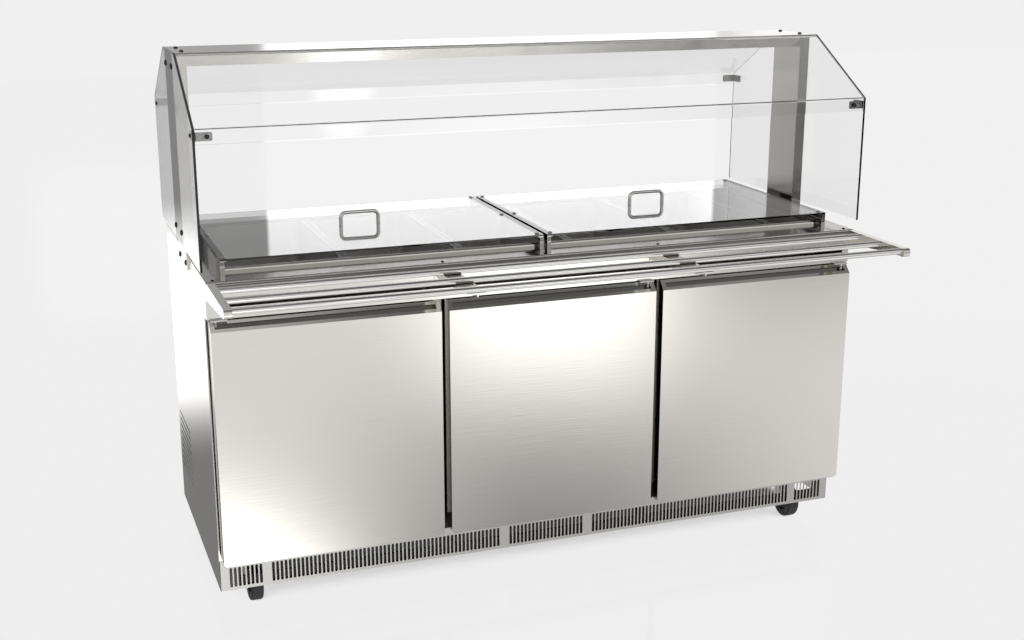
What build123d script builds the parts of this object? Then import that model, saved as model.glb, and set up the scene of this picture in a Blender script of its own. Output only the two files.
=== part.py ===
"""Refrigerated salad bar with three doors, a glass sneeze guard, lift-off lids and a tray slide.

Millimetres, +Z up, the user stands on the -Y side. Pieces are drawn with Y = 0 on the
door faces and Z = 0 on the floor, and are shifted on saving so that the origin is at the
bottom centre of the whole object.
"""
import os
from math import atan2, cos, radians, sin, tan

from build123d import *

# Overall sizes
cabinet_width = 1820.0
cabinet_depth = 758.0
tray_reach = 268.0
worktop_height = 906.0
guard_height = 1432.0

# Sheet metal
sheet = 1.5
worktop_gauge = 3.0

# Cabinet front: heights of the doors and of the frame they close on
skirt_bottom = 65.0
floor_bottom = 134.0
floor_thickness = 28.0
door_bottom = 158.0
door_head = 102.0
door_bevel_rise = 24.0
door_top_gap = 4.0
frame_face = 58.0
fascia_face = 22.0
joint_drop = 61.0
joint_height = 9.0
joint_end = 20.0
top_rail_drop = 208.0
sill_height = 34.0
stile_width = 50.0
stile_overlap = 8.0

# Doors
door_end_gap = 5.0
door_gap = 21.0
door_thickness = 42.0
door_bevel = 22.0
pull_width = 14.0
pull_depth = 16.0
pull_end = 12.0
door_recess = 4.0
door_recess_margin = 60.0
door_corner = 8.0
gasket_inset = 17.0
gasket_width = 14.0
gasket_gap = 0.5

# Hinges
pin_inset = 16.0
pin_setback = 22.0
pin_radius = 5.0
pin_length = 20.0
pin_end_gap = 2.0
running_clearance = 0.05
hinge_plate = 3.5
hinge_plate_length = 44.0
hinge_plate_front = 10.0
hinge_plate_end = 12.8
hinge_washer = 9.0
hinge_washer_height = 2.0
hinge_washer_gap = 0.3
hinge_seat_gap = 0.1

# Kick grille
grille_height = 85.0
grille_pitch = 11.2
grille_slot = 7.4
grille_slot_height = 55.0
grille_slot_foot = 8.0
grille_edge = 20.0
grille_end_run = 92.0
grille_end_bar = 18.0
grille_middle_run = 227.0
grille_middle_bar = 22.0
base_rail_height = 32.0
base_rail_thickness = 6.0
base_rail_gap = 2.0

# Side louvres and rear vents
louvre_front = 507.0
louvre_length = 215.0
louvre_foot = 180.0
louvre_pitch = 20.4
louvre_height = 6.0
louvre_count = 9
louvre_hood = 5.0
rear_vent_length = 320.0
rear_vent_count = 8

# Storage space behind the doors
liner_depth = 410.0
mullion_width = 70.0
mullion_depth = 40.0
shelf_height = 430.0
shelf_wire = 6.0
shelf_rail = 8.0
shelf_wires = 9
shelf_gap = 4.0
shelf_front_gap = 6.0
shelf_rest = 0.2
ledge = 14.0
ledge_thickness = 3.0

# Cold well, pans and the bars between them
well_width = 1692.0
well_front = 105.0
well_length = 535.0
well_depth = 169.0
well_wall = 2.0
well_flange = 22.0
well_ledge = 8.0
rim_height = 12.0
rim_width = 8.0
rim_round = 7.5
bay_pitch = 311.5
bay_count = 5
bar_width = 12.0
bar_height = 14.0
bar_top = 5.0
pan_gap = 0.75
pan_rim = 11.0
pan_gauge = 1.5
pan_depth = 150.0
pan_corner = 28.0
pan_taper = 3.0

# Worktop edge
nose_front = -10.0
nose_height = 20.0
nose_round = 19.0

# Lids
lid_half_gap = 5.0
lid_edge = 862.0
lid_front = 76.0
lid_length = 588.0
lid_height = 38.0
lid_glass = 5.0
lid_sheet = 1.5
lid_flange = 16.0
lid_front_return = 11.0
lid_lift_gap = 0.3
lid_rim_clearance = 3.0
handle_width = 113.0
handle_height = 42.0
handle_rod = 10.0
handle_bend = 14.0
lid_screw_inset = 14.0
lid_screw_end = 16.0
lid_screw_head = 6.0
handle_nut = 6.0

# Sneeze guard
post_width = 30.0
post_depth = 146.0
post_wall = 2.0
post_proud = 5.0
post_foot = 34.0
beam_height = 37.0
post_fit = 0.5
post_centre = 372.0
glass = 6.0
glass_gap = 0.5
guard_half_top = 105.0
guard_half_bend = 371.5
guard_fall = 155.0
guard_foot_gap = 27.0
guard_lip = 37.0
guard_bend_radius = 3.0
cap_gauge = 2.0
cap_flange = 4.0
clip_leg = 42.0
clip_height = 21.0
clip_corner = 4.0
clip_gauge = 3.0
clip_drop = 8.0
clip_hole = 29.0

# Tray slide
tube_radius = 8.0
tube_wall = 1.5
tube_pitch = 98.0
tube_front_gap = 6.0
tray_level = 1.0
tube_seat_gap = 0.1
bracket_width = 20.0
bracket_gauge = 2.0
bracket_root = 46.0
bracket_tip = 22.0
bracket_nose = 9.0
mid_bracket_width = 46.0
mid_bracket_gauge = 3.0
mid_bracket_root = 42.0
mid_bracket_tip = 10.0

# Fasteners
bolt_head = 8.0
bolt_head_height = 3.5
bolt_shank = 4.0
bolt_fit = 0.2
bolt_spacing = 110.0
bolt_grip = 6.0
guard_top_bolt = 35.0
guard_bottom_bolt = 35.0
foot_bolt = 18.0
cap_bolt_inset = 22.0
cap_screw_head = 6.0
worktop_screw_setback = 32.0
worktop_screw_end = 20.0
worktop_screw_head = 4.8
worktop_screw_height = 2.1
clip_screw_head = 5.6
clip_screw_height = 2.8

# Casters
wheel_radius = 50.0
wheel_width = 34.0
wheel_round = 6.0
hub_radius = 16.0
hub_extra = 2.0
axle_radius = 6.0
caster_trail = 28.0
caster_inset = 98.0
front_caster = 150.0
rear_caster = 650.0
caster_plate = 4.0
caster_plate_length = 100.0
caster_plate_width = 84.0
race_radius = 26.0
race_height = 8.0
kingpin_radius = 6.0
kingpin_head = 10.0
kingpin_head_height = 3.0
fork_gauge = 4.0
fork_gap = 1.5
fork_crown = 8.0
fork_foot = 14.0
fork_lead = 11.0
fork_shoulder = 18.0
axle_end = 4.0
thrust_gap = 0.3

# Cooling machine
coil_width = 230.0
coil_height = 250.0
coil_thickness = 50.0
coil_fins = 9
coil_side_gap = 12.0
coil_fin_depth = 15.0
coil_margin = 10.0
fan_radius = 95.0
fan_hub = 26.0
fan_depth = 24.0
fan_blades = 5
fan_pitch = 28.0
fan_clearance = 8.0
fan_shaft_start = 4.0
fan_chord = 42.0
fan_gauge = 2.5
shroud_depth = 46.0
shroud_gauge = 2.0
motor_radius = 34.0
motor_length = 60.0
motor_arm_setback = 24.0
motor_arm_gauge = 3.0
motor_arm_width = 20.0
shaft_radius = 4.0
compressor_radius = 88.0
compressor_height = 190.0
compressor_offset = 330.0
compressor_foot = 12.0
compressor_round = 30.0
compressor_plate = 3.0
compressor_stem = 52.0
terminal_size = 60.0
terminal_reach = 30.0
terminal_sink = 9.0
evaporator_width = 480.0
evaporator_height = 120.0
evaporator_depth = 70.0
evaporator_fins = 14
evaporator_drop = 12.0
evaporator_core = 21.0
evaporator_lip = 6.0

# Worked-out places
side_face = cabinet_width / 2
rear_face = cabinet_depth
door_face_y = (tray_reach - cabinet_depth) / 2
worktop_under = worktop_height - worktop_gauge
floor_top = floor_bottom + floor_thickness
door_top = worktop_height - door_head
door_face_top = door_top - door_bevel_rise
door_row_width = cabinet_width - 2 * door_end_gap
top_rail_bottom = worktop_height - top_rail_drop
guard_bend_height = guard_height - guard_fall
guard_glass_bottom = worktop_height + guard_foot_gap
fascia_bottom = door_top + door_top_gap
fascia_top = worktop_height - nose_height
sill_top = floor_top + sill_height
rail_end = top_rail_bottom - sheet
door_width = (door_row_width - 2 * door_gap) / 3
door_pitch = door_width + door_gap
mullion_centre = door_pitch / 2
shelf_seat = shelf_height - shelf_rail / 2 - shelf_rest
liner_back = frame_face + sheet + liner_depth
liner_side = side_face - stile_width + stile_overlap
well_half = well_width / 2
well_back = well_front + well_length
well_floor = worktop_height - well_depth
bar_level = worktop_height + bar_top
lid_seat = worktop_height + lid_lift_gap
lid_under = lid_seat + lid_height - lid_glass
lid_top = lid_seat + lid_height
lid_back = lid_front + lid_length
lid_middle = lid_front + lid_length / 2
post_face = side_face + post_proud
post_inner = post_face - post_width
post_front = post_centre - post_depth / 2
post_back = post_centre + post_depth / 2
post_bottom = worktop_height - post_foot
cap_under = guard_height - cap_gauge
beam_bottom = cap_under - beam_height
glass_face = post_face + glass
guard_slope = atan2(guard_height - guard_bend_height, guard_half_bend - guard_half_top)
tray_top = worktop_height + tray_level
tube_level = tray_top - tube_radius
tube_front = -tray_reach + tube_front_gap + tube_radius
tube_places = [tube_front + n * tube_pitch for n in range(3)]
tube_end = side_face - bracket_width
wheel_level = wheel_radius
caster_x = side_face - caster_inset
coil_face = side_face - sheet - coil_side_gap
machine_middle = (liner_back + rear_face) / 2
past = 1.0  # how far a cutter runs past the face that it opens
PARTS = {}


def block(x0, x1, y0, y1, z0, z1):
    """Box between two corners."""
    size = Box(x1 - x0, y1 - y0, z1 - z0)
    return Pos((x0 + x1) / 2, (y0 + y1) / 2, (z0 + z1) / 2) * size


def prism_x(points, x0, x1):
    """Outline in Y and Z, drawn along X."""
    face = make_face(Polyline(*[(0, y, z) for y, z in points], close=True))
    return Pos(x0, 0, 0) * extrude(face, amount=x1 - x0, dir=(1, 0, 0))


def prism_y(points, y0, y1):
    """Outline in X and Z, drawn along Y."""
    face = make_face(Polyline(*[(x, 0, z) for x, z in points], close=True))
    return Pos(0, y0, 0) * extrude(face, amount=y1 - y0, dir=(0, 1, 0))


def prism_z(points, z0, z1):
    """Outline in X and Y, drawn along Z."""
    face = make_face(Polyline(*[(x, y, 0) for x, y in points], close=True))
    return Pos(0, 0, z0) * extrude(face, amount=z1 - z0, dir=(0, 0, 1))


def rod_x(radius, x0, x1, y, z):
    """Round bar along X."""
    return Pos((x0 + x1) / 2, y, z) * Rot(0, 90, 0) * Cylinder(radius, x1 - x0)


def rod_y(radius, x, y0, y1, z):
    """Round bar along Y."""
    return Pos(x, (y0 + y1) / 2, z) * Rot(90, 0, 0) * Cylinder(radius, y1 - y0)


def rod_z(radius, x, y, z0, z1):
    """Round bar along Z."""
    return Pos(x, y, (z0 + z1) / 2) * Cylinder(radius, z1 - z0)


def folded(points, gauge):
    """Closed outline of a sheet whose one face follows the points and which lies to their left."""
    inner = []
    last = len(points) - 1
    for n, (y, z) in enumerate(points):
        before = points[max(n - 1, 0)]
        after = points[min(n + 1, last)]
        a = atan2(points[n][1] - before[1], points[n][0] - before[0]) if n > 0 else None
        b = atan2(after[1] - points[n][1], after[0] - points[n][0]) if n < last else None
        a = b if a is None else a
        b = a if b is None else b
        middle = (a + b) / 2
        if abs(a - b) > radians(180):
            middle += radians(180)
        reach = gauge / cos((b - a) / 2)
        inner.append((y - abs(reach) * sin(middle), z + abs(reach) * cos(middle)))
    return list(points) + inner[::-1]


def mirrored(shape):
    """The same piece on the other side of the middle plane."""
    return mirror(shape, about=Plane.YZ)


def group(shapes):
    """Separate solids kept together in one file."""
    solids = []
    for shape in shapes:
        solids.extend(shape.solids())
    return Compound(solids)


def keep(name, shape):
    """Note a finished piece under its file name."""
    PARTS[name] = shape


def side_panel(louvred):
    """Left outer panel: stile at the front, seat and notch for the guard post, louvres at the back."""
    outline = [
        (frame_face, skirt_bottom), (rear_face - sheet, skirt_bottom), (rear_face - sheet, worktop_under),
        (fascia_face + sheet, worktop_under), (fascia_face + sheet, fascia_bottom),
        (frame_face, fascia_bottom),
    ]
    panel = prism_x(outline, -side_face, -side_face + sheet)
    panel += block(-side_face, -side_face + stile_width, frame_face, frame_face + sheet,
                   skirt_bottom, fascia_bottom)
    panel += block(-side_face, -side_face + stile_width / 2, rear_face - 2 * sheet, rear_face - sheet,
                   skirt_bottom, worktop_under)
    notch_front = post_front - post_fit
    notch_back = post_back + post_fit
    panel -= block(-side_face - past, -side_face + sheet + past, notch_front, notch_back,
                   post_bottom, worktop_under + past)
    panel += block(-side_face, -post_inner, notch_front, notch_back, post_bottom - sheet, post_bottom)
    if louvred:
        inner = -side_face + sheet
        for n in range(louvre_count):
            foot = louvre_foot + n * louvre_pitch
            back = louvre_front + louvre_length
            head = foot + louvre_height
            panel -= block(-side_face - past, inner + past, louvre_front, back, foot, head)
            hood = [
                (inner, head), (inner, head + sheet),
                (inner + louvre_hood, foot + sheet), (inner + louvre_hood, foot),
            ]
            panel += prism_y(hood, louvre_front, back)
    return panel


def rear_panel():
    """Flat back sheet with two fields of vents behind the machine space."""
    field = Rectangle(cabinet_width, worktop_under - skirt_bottom)
    middle = (worktop_under + skirt_bottom) / 2
    slots = []
    for n in range(rear_vent_count):
        level = louvre_foot + louvre_pitch * (n + 2) - middle
        for centre in (-side_face / 2, side_face / 2):
            slots.append(Pos(centre, level) * Rectangle(rear_vent_length, louvre_height))
    field -= slots
    sheet_body = extrude(Plane.XZ * field, amount=sheet, dir=(0, 1, 0))
    return Pos(0, rear_face - sheet, middle) * sheet_body


def base_frame():
    """Insulated floor with a sill at the front and a rail behind the kick grille."""
    inside = side_face - sheet
    back = rear_face - 2 * sheet
    front = frame_face + sheet
    floor = block(-inside, inside, front, back, floor_bottom, floor_top)
    stile_edge = side_face - stile_width
    floor += block(-stile_edge, stile_edge, frame_face, front, floor_bottom, sill_top)
    floor += block(-stile_edge, stile_edge, front, front + base_rail_thickness, floor_top, sill_top)
    rail_front = front + base_rail_gap
    rail_back = rail_front + base_rail_thickness
    rail_top = skirt_bottom + base_rail_gap + base_rail_height
    floor += block(-inside, inside, rail_front, rail_back, skirt_bottom + base_rail_gap, rail_top)
    for x in (-inside, -mullion_centre, mullion_centre - base_rail_height, inside - base_rail_height):
        floor += block(x, x + base_rail_height, rail_front, rail_back,
                       skirt_bottom + base_rail_gap, floor_bottom)
    return floor


def kick_grille():
    """Slotted kick plate: short end fields, long fields and one field in the middle."""
    width = 2 * (side_face - sheet)
    plate = Rectangle(width, grille_height)
    half = width / 2
    inner = half - grille_edge - grille_end_run - grille_end_bar
    fields = [
        (-half + grille_edge, -half + grille_edge + grille_end_run),
        (-inner, -grille_middle_run / 2 - grille_middle_bar),
        (-grille_middle_run / 2, grille_middle_run / 2),
        (grille_middle_run / 2 + grille_middle_bar, inner),
        (half - grille_edge - grille_end_run, half - grille_edge),
    ]
    slots = []
    level = -grille_height / 2 + grille_slot_foot + grille_slot_height / 2
    for start, end in fields:
        count = int((end - start) / grille_pitch)
        first = (start + end) / 2 - (count - 1) * grille_pitch / 2
        for n in range(count):
            slots.append(Pos(first + n * grille_pitch, level) * Rectangle(grille_slot, grille_slot_height))
    plate -= slots
    body = extrude(Plane.XZ * plate, amount=sheet, dir=(0, 1, 0))
    return Pos(0, frame_face - sheet, skirt_bottom + grille_height / 2) * body


def fascia():
    """Folded front panel with an open joint along it, running back to the rail that the doors close on."""
    line = [
        (fascia_face, worktop_under), (fascia_face, fascia_bottom), (frame_face, fascia_bottom),
        (frame_face, rail_end),
    ]
    panel = prism_x(folded(line, sheet), -side_face, side_face)
    joint_top = worktop_height - joint_drop
    panel -= block(-side_face + joint_end, side_face - joint_end, fascia_face - past,
                   fascia_face + sheet + past, joint_top - joint_height, joint_top)
    for side in (-1, 1):
        x0, x1 = sorted((side * (side_face - sheet), side * (side_face + past)))
        panel -= block(x0, x1, fascia_face + sheet, frame_face + sheet + past,
                       rail_end - past, worktop_height)
        x0, x1 = sorted((side * (side_face - stile_width), side * side_face))
        panel -= block(x0, x1, frame_face - past, frame_face + sheet + past, rail_end - past, fascia_bottom)
    return panel


def mullion():
    """Channel between two door openings, with a tab that carries the shelf ends."""
    half = mullion_width / 2
    back = frame_face + mullion_depth
    post = block(-half, half, frame_face, back, sill_top, rail_end)
    post -= block(-half + sheet, half - sheet, frame_face + sheet, back + past,
                  sill_top - past, rail_end + past)
    low = shelf_seat - ledge_thickness
    post += block(-half - ledge, half + ledge, frame_face + sheet, back, low, shelf_seat)
    return post


def inner_liner():
    """Lining of the storage space: floor, ceiling, sides and back, with shelf ledges."""
    front = frame_face + sheet
    outer = block(-liner_side, liner_side, front, liner_back, floor_top, top_rail_bottom)
    wall = sheet
    outer -= block(-liner_side + wall, liner_side - wall, front - past, liner_back - wall,
                   floor_top + wall, top_rail_bottom - wall)
    outer -= block(-liner_side - past, liner_side + past, front - past, front + base_rail_thickness,
                   floor_top - past, sill_top)
    low = shelf_seat - ledge_thickness
    back = liner_back - wall
    outer += block(-liner_side + wall, liner_side - wall, back - ledge, back, low, shelf_seat)
    for side in (-1, 1):
        x0, x1 = sorted((side * (liner_side - wall - ledge), side * (liner_side - wall)))
        outer += block(x0, x1, front + mullion_depth, back, low, shelf_seat)
    return outer


def wire_shelf(x0, x1):
    """One wire shelf: side rails, front and back rails and cross wires."""
    front = frame_face + sheet + shelf_front_gap
    back = liner_back - sheet - shelf_gap
    r = shelf_rail / 2
    z = shelf_height
    shelf = rod_x(r, x0, x1, front + r, z) + rod_x(r, x0, x1, back - r, z)
    shelf += rod_y(r, x0 + r, front, back, z) + rod_y(r, x1 - r, front, back, z)
    step = (x1 - x0 - 2 * r) / (shelf_wires + 1)
    for n in range(shelf_wires):
        shelf += rod_y(shelf_wire / 2, x0 + r + (n + 1) * step, front, back, z)
    return shelf


def worktop():
    """Top sheet with the well opening, its raised rim, post notches and a rounded front nose."""
    nose_back = fascia_face
    top = block(-side_face, side_face, nose_front + nose_round, rear_face, worktop_under, worktop_height)
    nose = Rectangle(nose_back - nose_front, nose_height)
    front_corners = nose.vertices().sort_by(Axis.X)[:2]
    nose = fillet(front_corners.sort_by(Axis.Y)[-1], nose_round)
    bar = extrude(Plane.YZ * nose, amount=cabinet_width, dir=(1, 0, 0))
    top += Pos(-side_face, (nose_front + nose_back) / 2, worktop_height - nose_height / 2) * bar
    rim = block(-well_half - rim_width, well_half + rim_width, well_front - rim_width, well_back + rim_width,
                worktop_height, worktop_height + rim_height)
    rim = fillet(rim.edges().group_by(Axis.Z)[-1], rim_round)
    top += rim
    top -= block(-well_half, well_half, well_front, well_back,
                 worktop_under - past, worktop_height + rim_height + past)
    for side in (-1, 1):
        x0, x1 = sorted((side * (post_inner - post_fit), side * (side_face + past)))
        top -= block(x0, x1, post_front - post_fit, post_back + post_fit,
                     worktop_under - past, worktop_height + past)
    return top


def well_liner():
    """Tub under the worktop opening, hung by a flange, with a ledge for the pan frame."""
    w = well_half + well_wall
    y0 = well_front - well_wall
    y1 = well_back + well_wall
    tub = block(-w, w, y0, y1, well_floor - well_wall, worktop_under)
    tub += block(-w - well_flange, w + well_flange, y0 - well_flange, y1 + well_flange,
                 worktop_under - well_wall, worktop_under)
    tub -= block(-well_half, well_half, well_front, well_back, well_floor, worktop_under + past)
    shelf = block(-well_half, well_half, well_front, well_back, worktop_under - well_wall, worktop_under)
    shelf -= block(-well_half + well_ledge, well_half - well_ledge,
                   well_front + well_ledge, well_back - well_ledge,
                   worktop_under - well_wall - past, worktop_under + past)
    return tub + shelf


def bay_edges():
    """X of the left well edge, of each bar between pans and of the right well edge."""
    return [-well_half + n * bay_pitch for n in range(bay_count + 1)] + [well_half]


def pan_frame():
    """Welded frame on the well ledge: a rail all round and a bar between each two pans."""
    frame = block(-well_half + pan_gap, well_half - pan_gap, well_front + pan_gap, well_back - pan_gap,
                  worktop_under, bar_level)
    frame -= block(-well_half + well_ledge, well_half - well_ledge,
                   well_front + well_ledge, well_back - well_ledge,
                   worktop_under - past, bar_level + past)
    for x in bay_edges()[1:-1]:
        frame += block(x - bar_width / 2, x + bar_width / 2, well_front + well_ledge, well_back - well_ledge,
                       bar_level - bar_height, bar_level)
    return frame


def pan(x0, x1):
    """Deep-drawn pan hanging by its rim between two bars."""
    width = x1 - x0 - 2 * pan_gap
    length = well_length - 4 * pan_gap
    inner_width = width - 2 * pan_rim
    inner_length = length - 2 * pan_rim
    corner = min(pan_corner, inner_width / 3)
    outer = RectangleRounded(inner_width, inner_length, corner)
    hollow = RectangleRounded(inner_width - 2 * pan_gauge, inner_length - 2 * pan_gauge, corner - pan_gauge)
    rim = RectangleRounded(width, length, pan_rim)
    body = extrude(outer, amount=-pan_depth, taper=pan_taper)
    body += extrude(rim, amount=pan_gauge)
    body -= extrude(hollow, amount=-pan_depth + pan_gauge, taper=pan_taper)
    body -= extrude(hollow, amount=pan_gauge + past)
    return Pos((x0 + x1) / 2, (well_front + well_back) / 2, bar_level) * body


def lid_wall(outer):
    """Side wall of the left lid: foot on the worktop, flange under the glass and front return."""
    over_rim = worktop_height + rim_height + lid_rim_clearance
    bottom = lid_seat
    wall = block(0, lid_sheet, lid_front, lid_back, bottom, lid_under)
    wall += block(0, lid_flange, lid_front, lid_back, lid_under - lid_sheet, lid_under)
    wall += block(0, lid_front_return, lid_front, lid_front + lid_sheet, bottom, lid_under)
    wall += block(0, lid_front_return, lid_back - lid_sheet, lid_back, bottom, lid_under)
    if not outer:
        clear = lid_rim_clearance
        front = well_front - rim_width - clear
        back = well_back + rim_width + clear
        wall -= block(-past, lid_flange + past, front, back, bottom - past, over_rim)
    return wall


def lid_screws(x_places, y_places):
    """Dome screws that hold a lid's glass to the wall flanges."""
    screws = []
    for x in x_places:
        for y in y_places:
            screw = rod_z(lid_screw_head, x, y, lid_top, lid_top + bolt_head_height)
            screw += rod_z(bolt_shank / 2, x, y, lid_under - lid_sheet, lid_top)
            screws.append(screw)
    return screws


def lid(side):
    """Glass, two walls, handle and screws of the lid on one side (-1 left, 1 right)."""
    name = "lid_left" if side < 0 else "lid_right"
    x_out = side * lid_edge
    x_in = side * lid_half_gap
    x0, x1 = min(x_out, x_in), max(x_out, x_in)
    outer_wall = lid_wall(True)
    inner_wall = lid_wall(False)
    if side < 0:
        walls = [Pos(x0, 0, 0) * outer_wall, Pos(x1, 0, 0) * mirrored(inner_wall)]
    else:
        walls = [Pos(x0, 0, 0) * inner_wall, Pos(x1, 0, 0) * mirrored(outer_wall)]
    x_places = [x0 + lid_screw_inset, x1 - lid_screw_inset]
    y_places = [lid_front + lid_screw_end, lid_middle, lid_back - lid_screw_end]
    hole = bolt_shank / 2 + bolt_fit
    holes = []
    for x in x_places:
        for y in y_places:
            holes.append(rod_z(hole, x, y, lid_under - 2 * lid_sheet, lid_top + past))
    walls = [wall - holes for wall in walls]
    centre = (x0 + x1) / 2
    span = handle_width / 2 - handle_rod / 2
    y = lid_middle
    pane = block(x0, x1, lid_front, lid_back, lid_under, lid_top) - holes
    for end in (-1, 1):
        pane -= rod_z(hole, centre + end * span, y, lid_under - past, lid_top + past)
    rise = handle_height - handle_rod / 2
    path = FilletPolyline(
        (centre - span, y, lid_top), (centre - span, y, lid_top + rise),
        (centre + span, y, lid_top + rise), (centre + span, y, lid_top), radius=handle_bend,
    )
    profile = Plane(origin=path @ 0, z_dir=path % 0) * Circle(handle_rod / 2)
    bow = sweep(profile, path=path)
    for end in (-1, 1):
        bow += rod_z(bolt_shank / 2, centre + end * span, y, lid_under - bolt_head_height, lid_top)
        bow += rod_z(handle_nut, centre + end * span, y, lid_under - bolt_head_height, lid_under)
    keep(name + "_glass", pane)
    keep(name + "_walls", group(walls))
    keep(name + "_handle", bow)
    keep(name + "_screws", group(lid_screws(x_places, y_places)))


def door(hinge_side):
    """Insulated door centred on X = 0, with a bevelled top, a pull groove and hinge bores."""
    half = door_width / 2
    outline = [
        (0, door_bottom), (door_thickness, door_bottom), (door_thickness, door_top), (door_bevel, door_top),
        (0, door_face_top),
    ]
    body = prism_x(outline, -half, half)
    corners = body.edges().filter_by(Axis.Y).group_by(Axis.Z)[0]
    body = fillet(corners, door_corner)
    slope = atan2(door_bevel_rise, door_bevel)
    along = (cos(slope), sin(slope))
    inward = (sin(slope), -cos(slope))
    middle = (door_bevel / 2, (door_face_top + door_top) / 2)
    groove = []
    for a, b in ((-0.5, -past), (0.5, -past), (0.5, pull_depth), (-0.5, pull_depth)):
        step = a * pull_width
        y = middle[0] + step * along[0] + b * inward[0]
        z = middle[1] + step * along[1] + b * inward[1]
        groove.append((y, z))
    body -= prism_x(groove, -half + pull_end, half - pull_end)
    margin = door_recess_margin
    body -= block(-half + margin, half - margin, door_thickness - door_recess, door_thickness + past,
                  door_bottom + margin, door_top - margin)
    pin_x = hinge_side * (half - pin_inset)
    bore = pin_radius + running_clearance
    reach = pin_length + pin_end_gap
    body -= rod_z(bore, pin_x, pin_setback, door_bottom - past, door_bottom + reach)
    body -= rod_z(bore, pin_x, pin_setback, door_top - reach, door_top + past)
    return body


def door_gasket():
    """Magnetic seal round the back of a door."""
    half = door_width / 2 - gasket_inset
    low = door_bottom + gasket_inset
    high = door_top - gasket_inset
    w = gasket_width
    ring = block(-half, half, door_thickness, frame_face - gasket_gap, low, high)
    ring -= block(-half + w, half - w, door_thickness - past, frame_face + past, low + w, high - w)
    return ring


def hinge_pair(hinge_side):
    """Lower and upper hinge plates with their pins, for a door centred on X = 0."""
    pin_x = hinge_side * (door_width / 2 - pin_inset)
    inner = pin_x - hinge_side * (hinge_plate_length - pin_inset)
    outer = pin_x + hinge_side * hinge_plate_end
    x0, x1 = sorted((inner, outer))
    low_top = door_bottom - hinge_washer_gap - hinge_washer_height
    lower = block(x0, x1, hinge_plate_front, frame_face - hinge_seat_gap, low_top - hinge_plate, low_top)
    lower += rod_z(hinge_washer, pin_x, pin_setback, low_top, door_bottom - hinge_washer_gap)
    lower += rod_z(pin_radius, pin_x, pin_setback, low_top, door_bottom + pin_length)
    upper = block(x0, x1, hinge_plate_front, frame_face, fascia_bottom - hinge_plate, fascia_bottom)
    upper += rod_z(pin_radius, pin_x, pin_setback, door_top - pin_length, fascia_bottom - hinge_plate)
    return [lower, upper]


def guard_post():
    """Left post of the sneeze guard: a flat tube, mitred to the beam at the top."""
    post = block(-post_face, -post_inner, post_front, post_back, post_bottom, cap_under)
    w = post_wall
    post -= block(-post_face + w, -post_inner - w, post_front + w, post_back - w,
                  post_bottom - past, cap_under + past)
    reach = post_width + past
    slope = beam_height / post_width
    wedge = [
        (-post_inner, beam_bottom), (-post_inner - reach, beam_bottom + slope * reach),
        (-post_inner + past, cap_under + 2 * past), (-post_inner + past, beam_bottom),
    ]
    post -= prism_y(wedge, post_front - past, post_back + past)
    return post - side_bolt_holes()


def guard_beam():
    """Flat tube across the top of the guard, mitred at both ends."""
    beam = block(-post_face, post_face, post_front, post_back, beam_bottom, cap_under)
    w = post_wall
    beam -= block(-post_face - past, post_face + past, post_front + w, post_back - w,
                  beam_bottom + w, cap_under - w)
    reach = post_width + past
    slope = beam_height / post_width
    for side in (-1, 1):
        wedge = [
            (side * (post_inner - past), beam_bottom - slope * past),
            (side * (post_inner + reach), beam_bottom + slope * reach),
            (side * (post_inner + reach), beam_bottom - slope * past),
        ]
        beam -= prism_y(wedge, post_front - past, post_back + past)
    for x, y in cap_bolt_places():
        beam -= rod_z(bolt_shank + bolt_fit, x, y, cap_under - w - past, cap_under + past)
    return beam


def guard_cap():
    """Top plate of the guard; its folded edges carry the upper edges of the sloping panes."""
    front = post_centre - guard_half_top
    drop = glass / cos(guard_slope)
    away = cap_flange * cos(guard_slope)
    fall = cap_flange * sin(guard_slope)
    left = [
        (front - away, guard_height - drop - fall), (front, guard_height - drop),
        (front, guard_height), (post_centre, guard_height),
    ]
    half = folded(left[::-1], cap_gauge)
    plate = prism_x(half, -post_face, post_face)
    plate += mirror(plate, about=Plane.XZ.offset(-post_centre))
    for x, y in cap_bolt_places():
        plate -= rod_z(bolt_shank + bolt_fit, x, y, cap_under - past, guard_height + past)
    return plate


def end_glass():
    """Left end pane, bolted to the outside of the post."""
    top = guard_half_top
    bend = guard_half_bend
    outline = [
        (post_centre - bend, guard_glass_bottom), (post_centre - bend, guard_bend_height),
        (post_centre - top, guard_height), (post_centre + top, guard_height),
        (post_centre + bend, guard_bend_height), (post_centre + bend, guard_glass_bottom),
    ]
    pane = prism_x(outline, -glass_face, -post_face)
    pane -= side_bolt_holes()
    for y in (post_centre - bend + glass + clip_hole, post_centre + bend - glass - clip_hole):
        pane -= rod_x(bolt_shank / 2 + bolt_fit, -glass_face - past, -post_face + past, y, clip_level())
    return pane


def edges_at(shape, y, z):
    """Edges along X that run through one place."""
    near = glass_gap
    edges = shape.edges().filter_by(Axis.X)
    return [e for e in edges if abs(e.center().Y - y) < near and abs(e.center().Z - z) < near]


def bent_pane():
    """Front pane: a sloping sheet bent down to a short lip."""
    front = post_centre - guard_half_bend
    top = post_centre - guard_half_top - glass_gap
    top_level = guard_height - glass_gap * tan(guard_slope)
    outer = [(front, guard_bend_height - guard_lip), (front, guard_bend_height), (top, top_level)]
    outline = folded(outer[::-1], glass)
    pane = prism_x(outline, -post_face + glass_gap, post_face - glass_gap)
    pane -= block(-post_face, post_face, top, top + 2 * glass, guard_bend_height, guard_height + glass)
    outer_bend, inner_bend = outline[1], outline[4]
    pane = fillet(edges_at(pane, *outer_bend), guard_bend_radius + glass)
    pane = fillet(edges_at(pane, *inner_bend), guard_bend_radius)
    for side in (-1, 1):
        x = side * (post_face - clip_hole)
        pane -= rod_y(bolt_shank / 2 + bolt_fit, x, front - past, front + glass + past, clip_level())
    return pane


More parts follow.
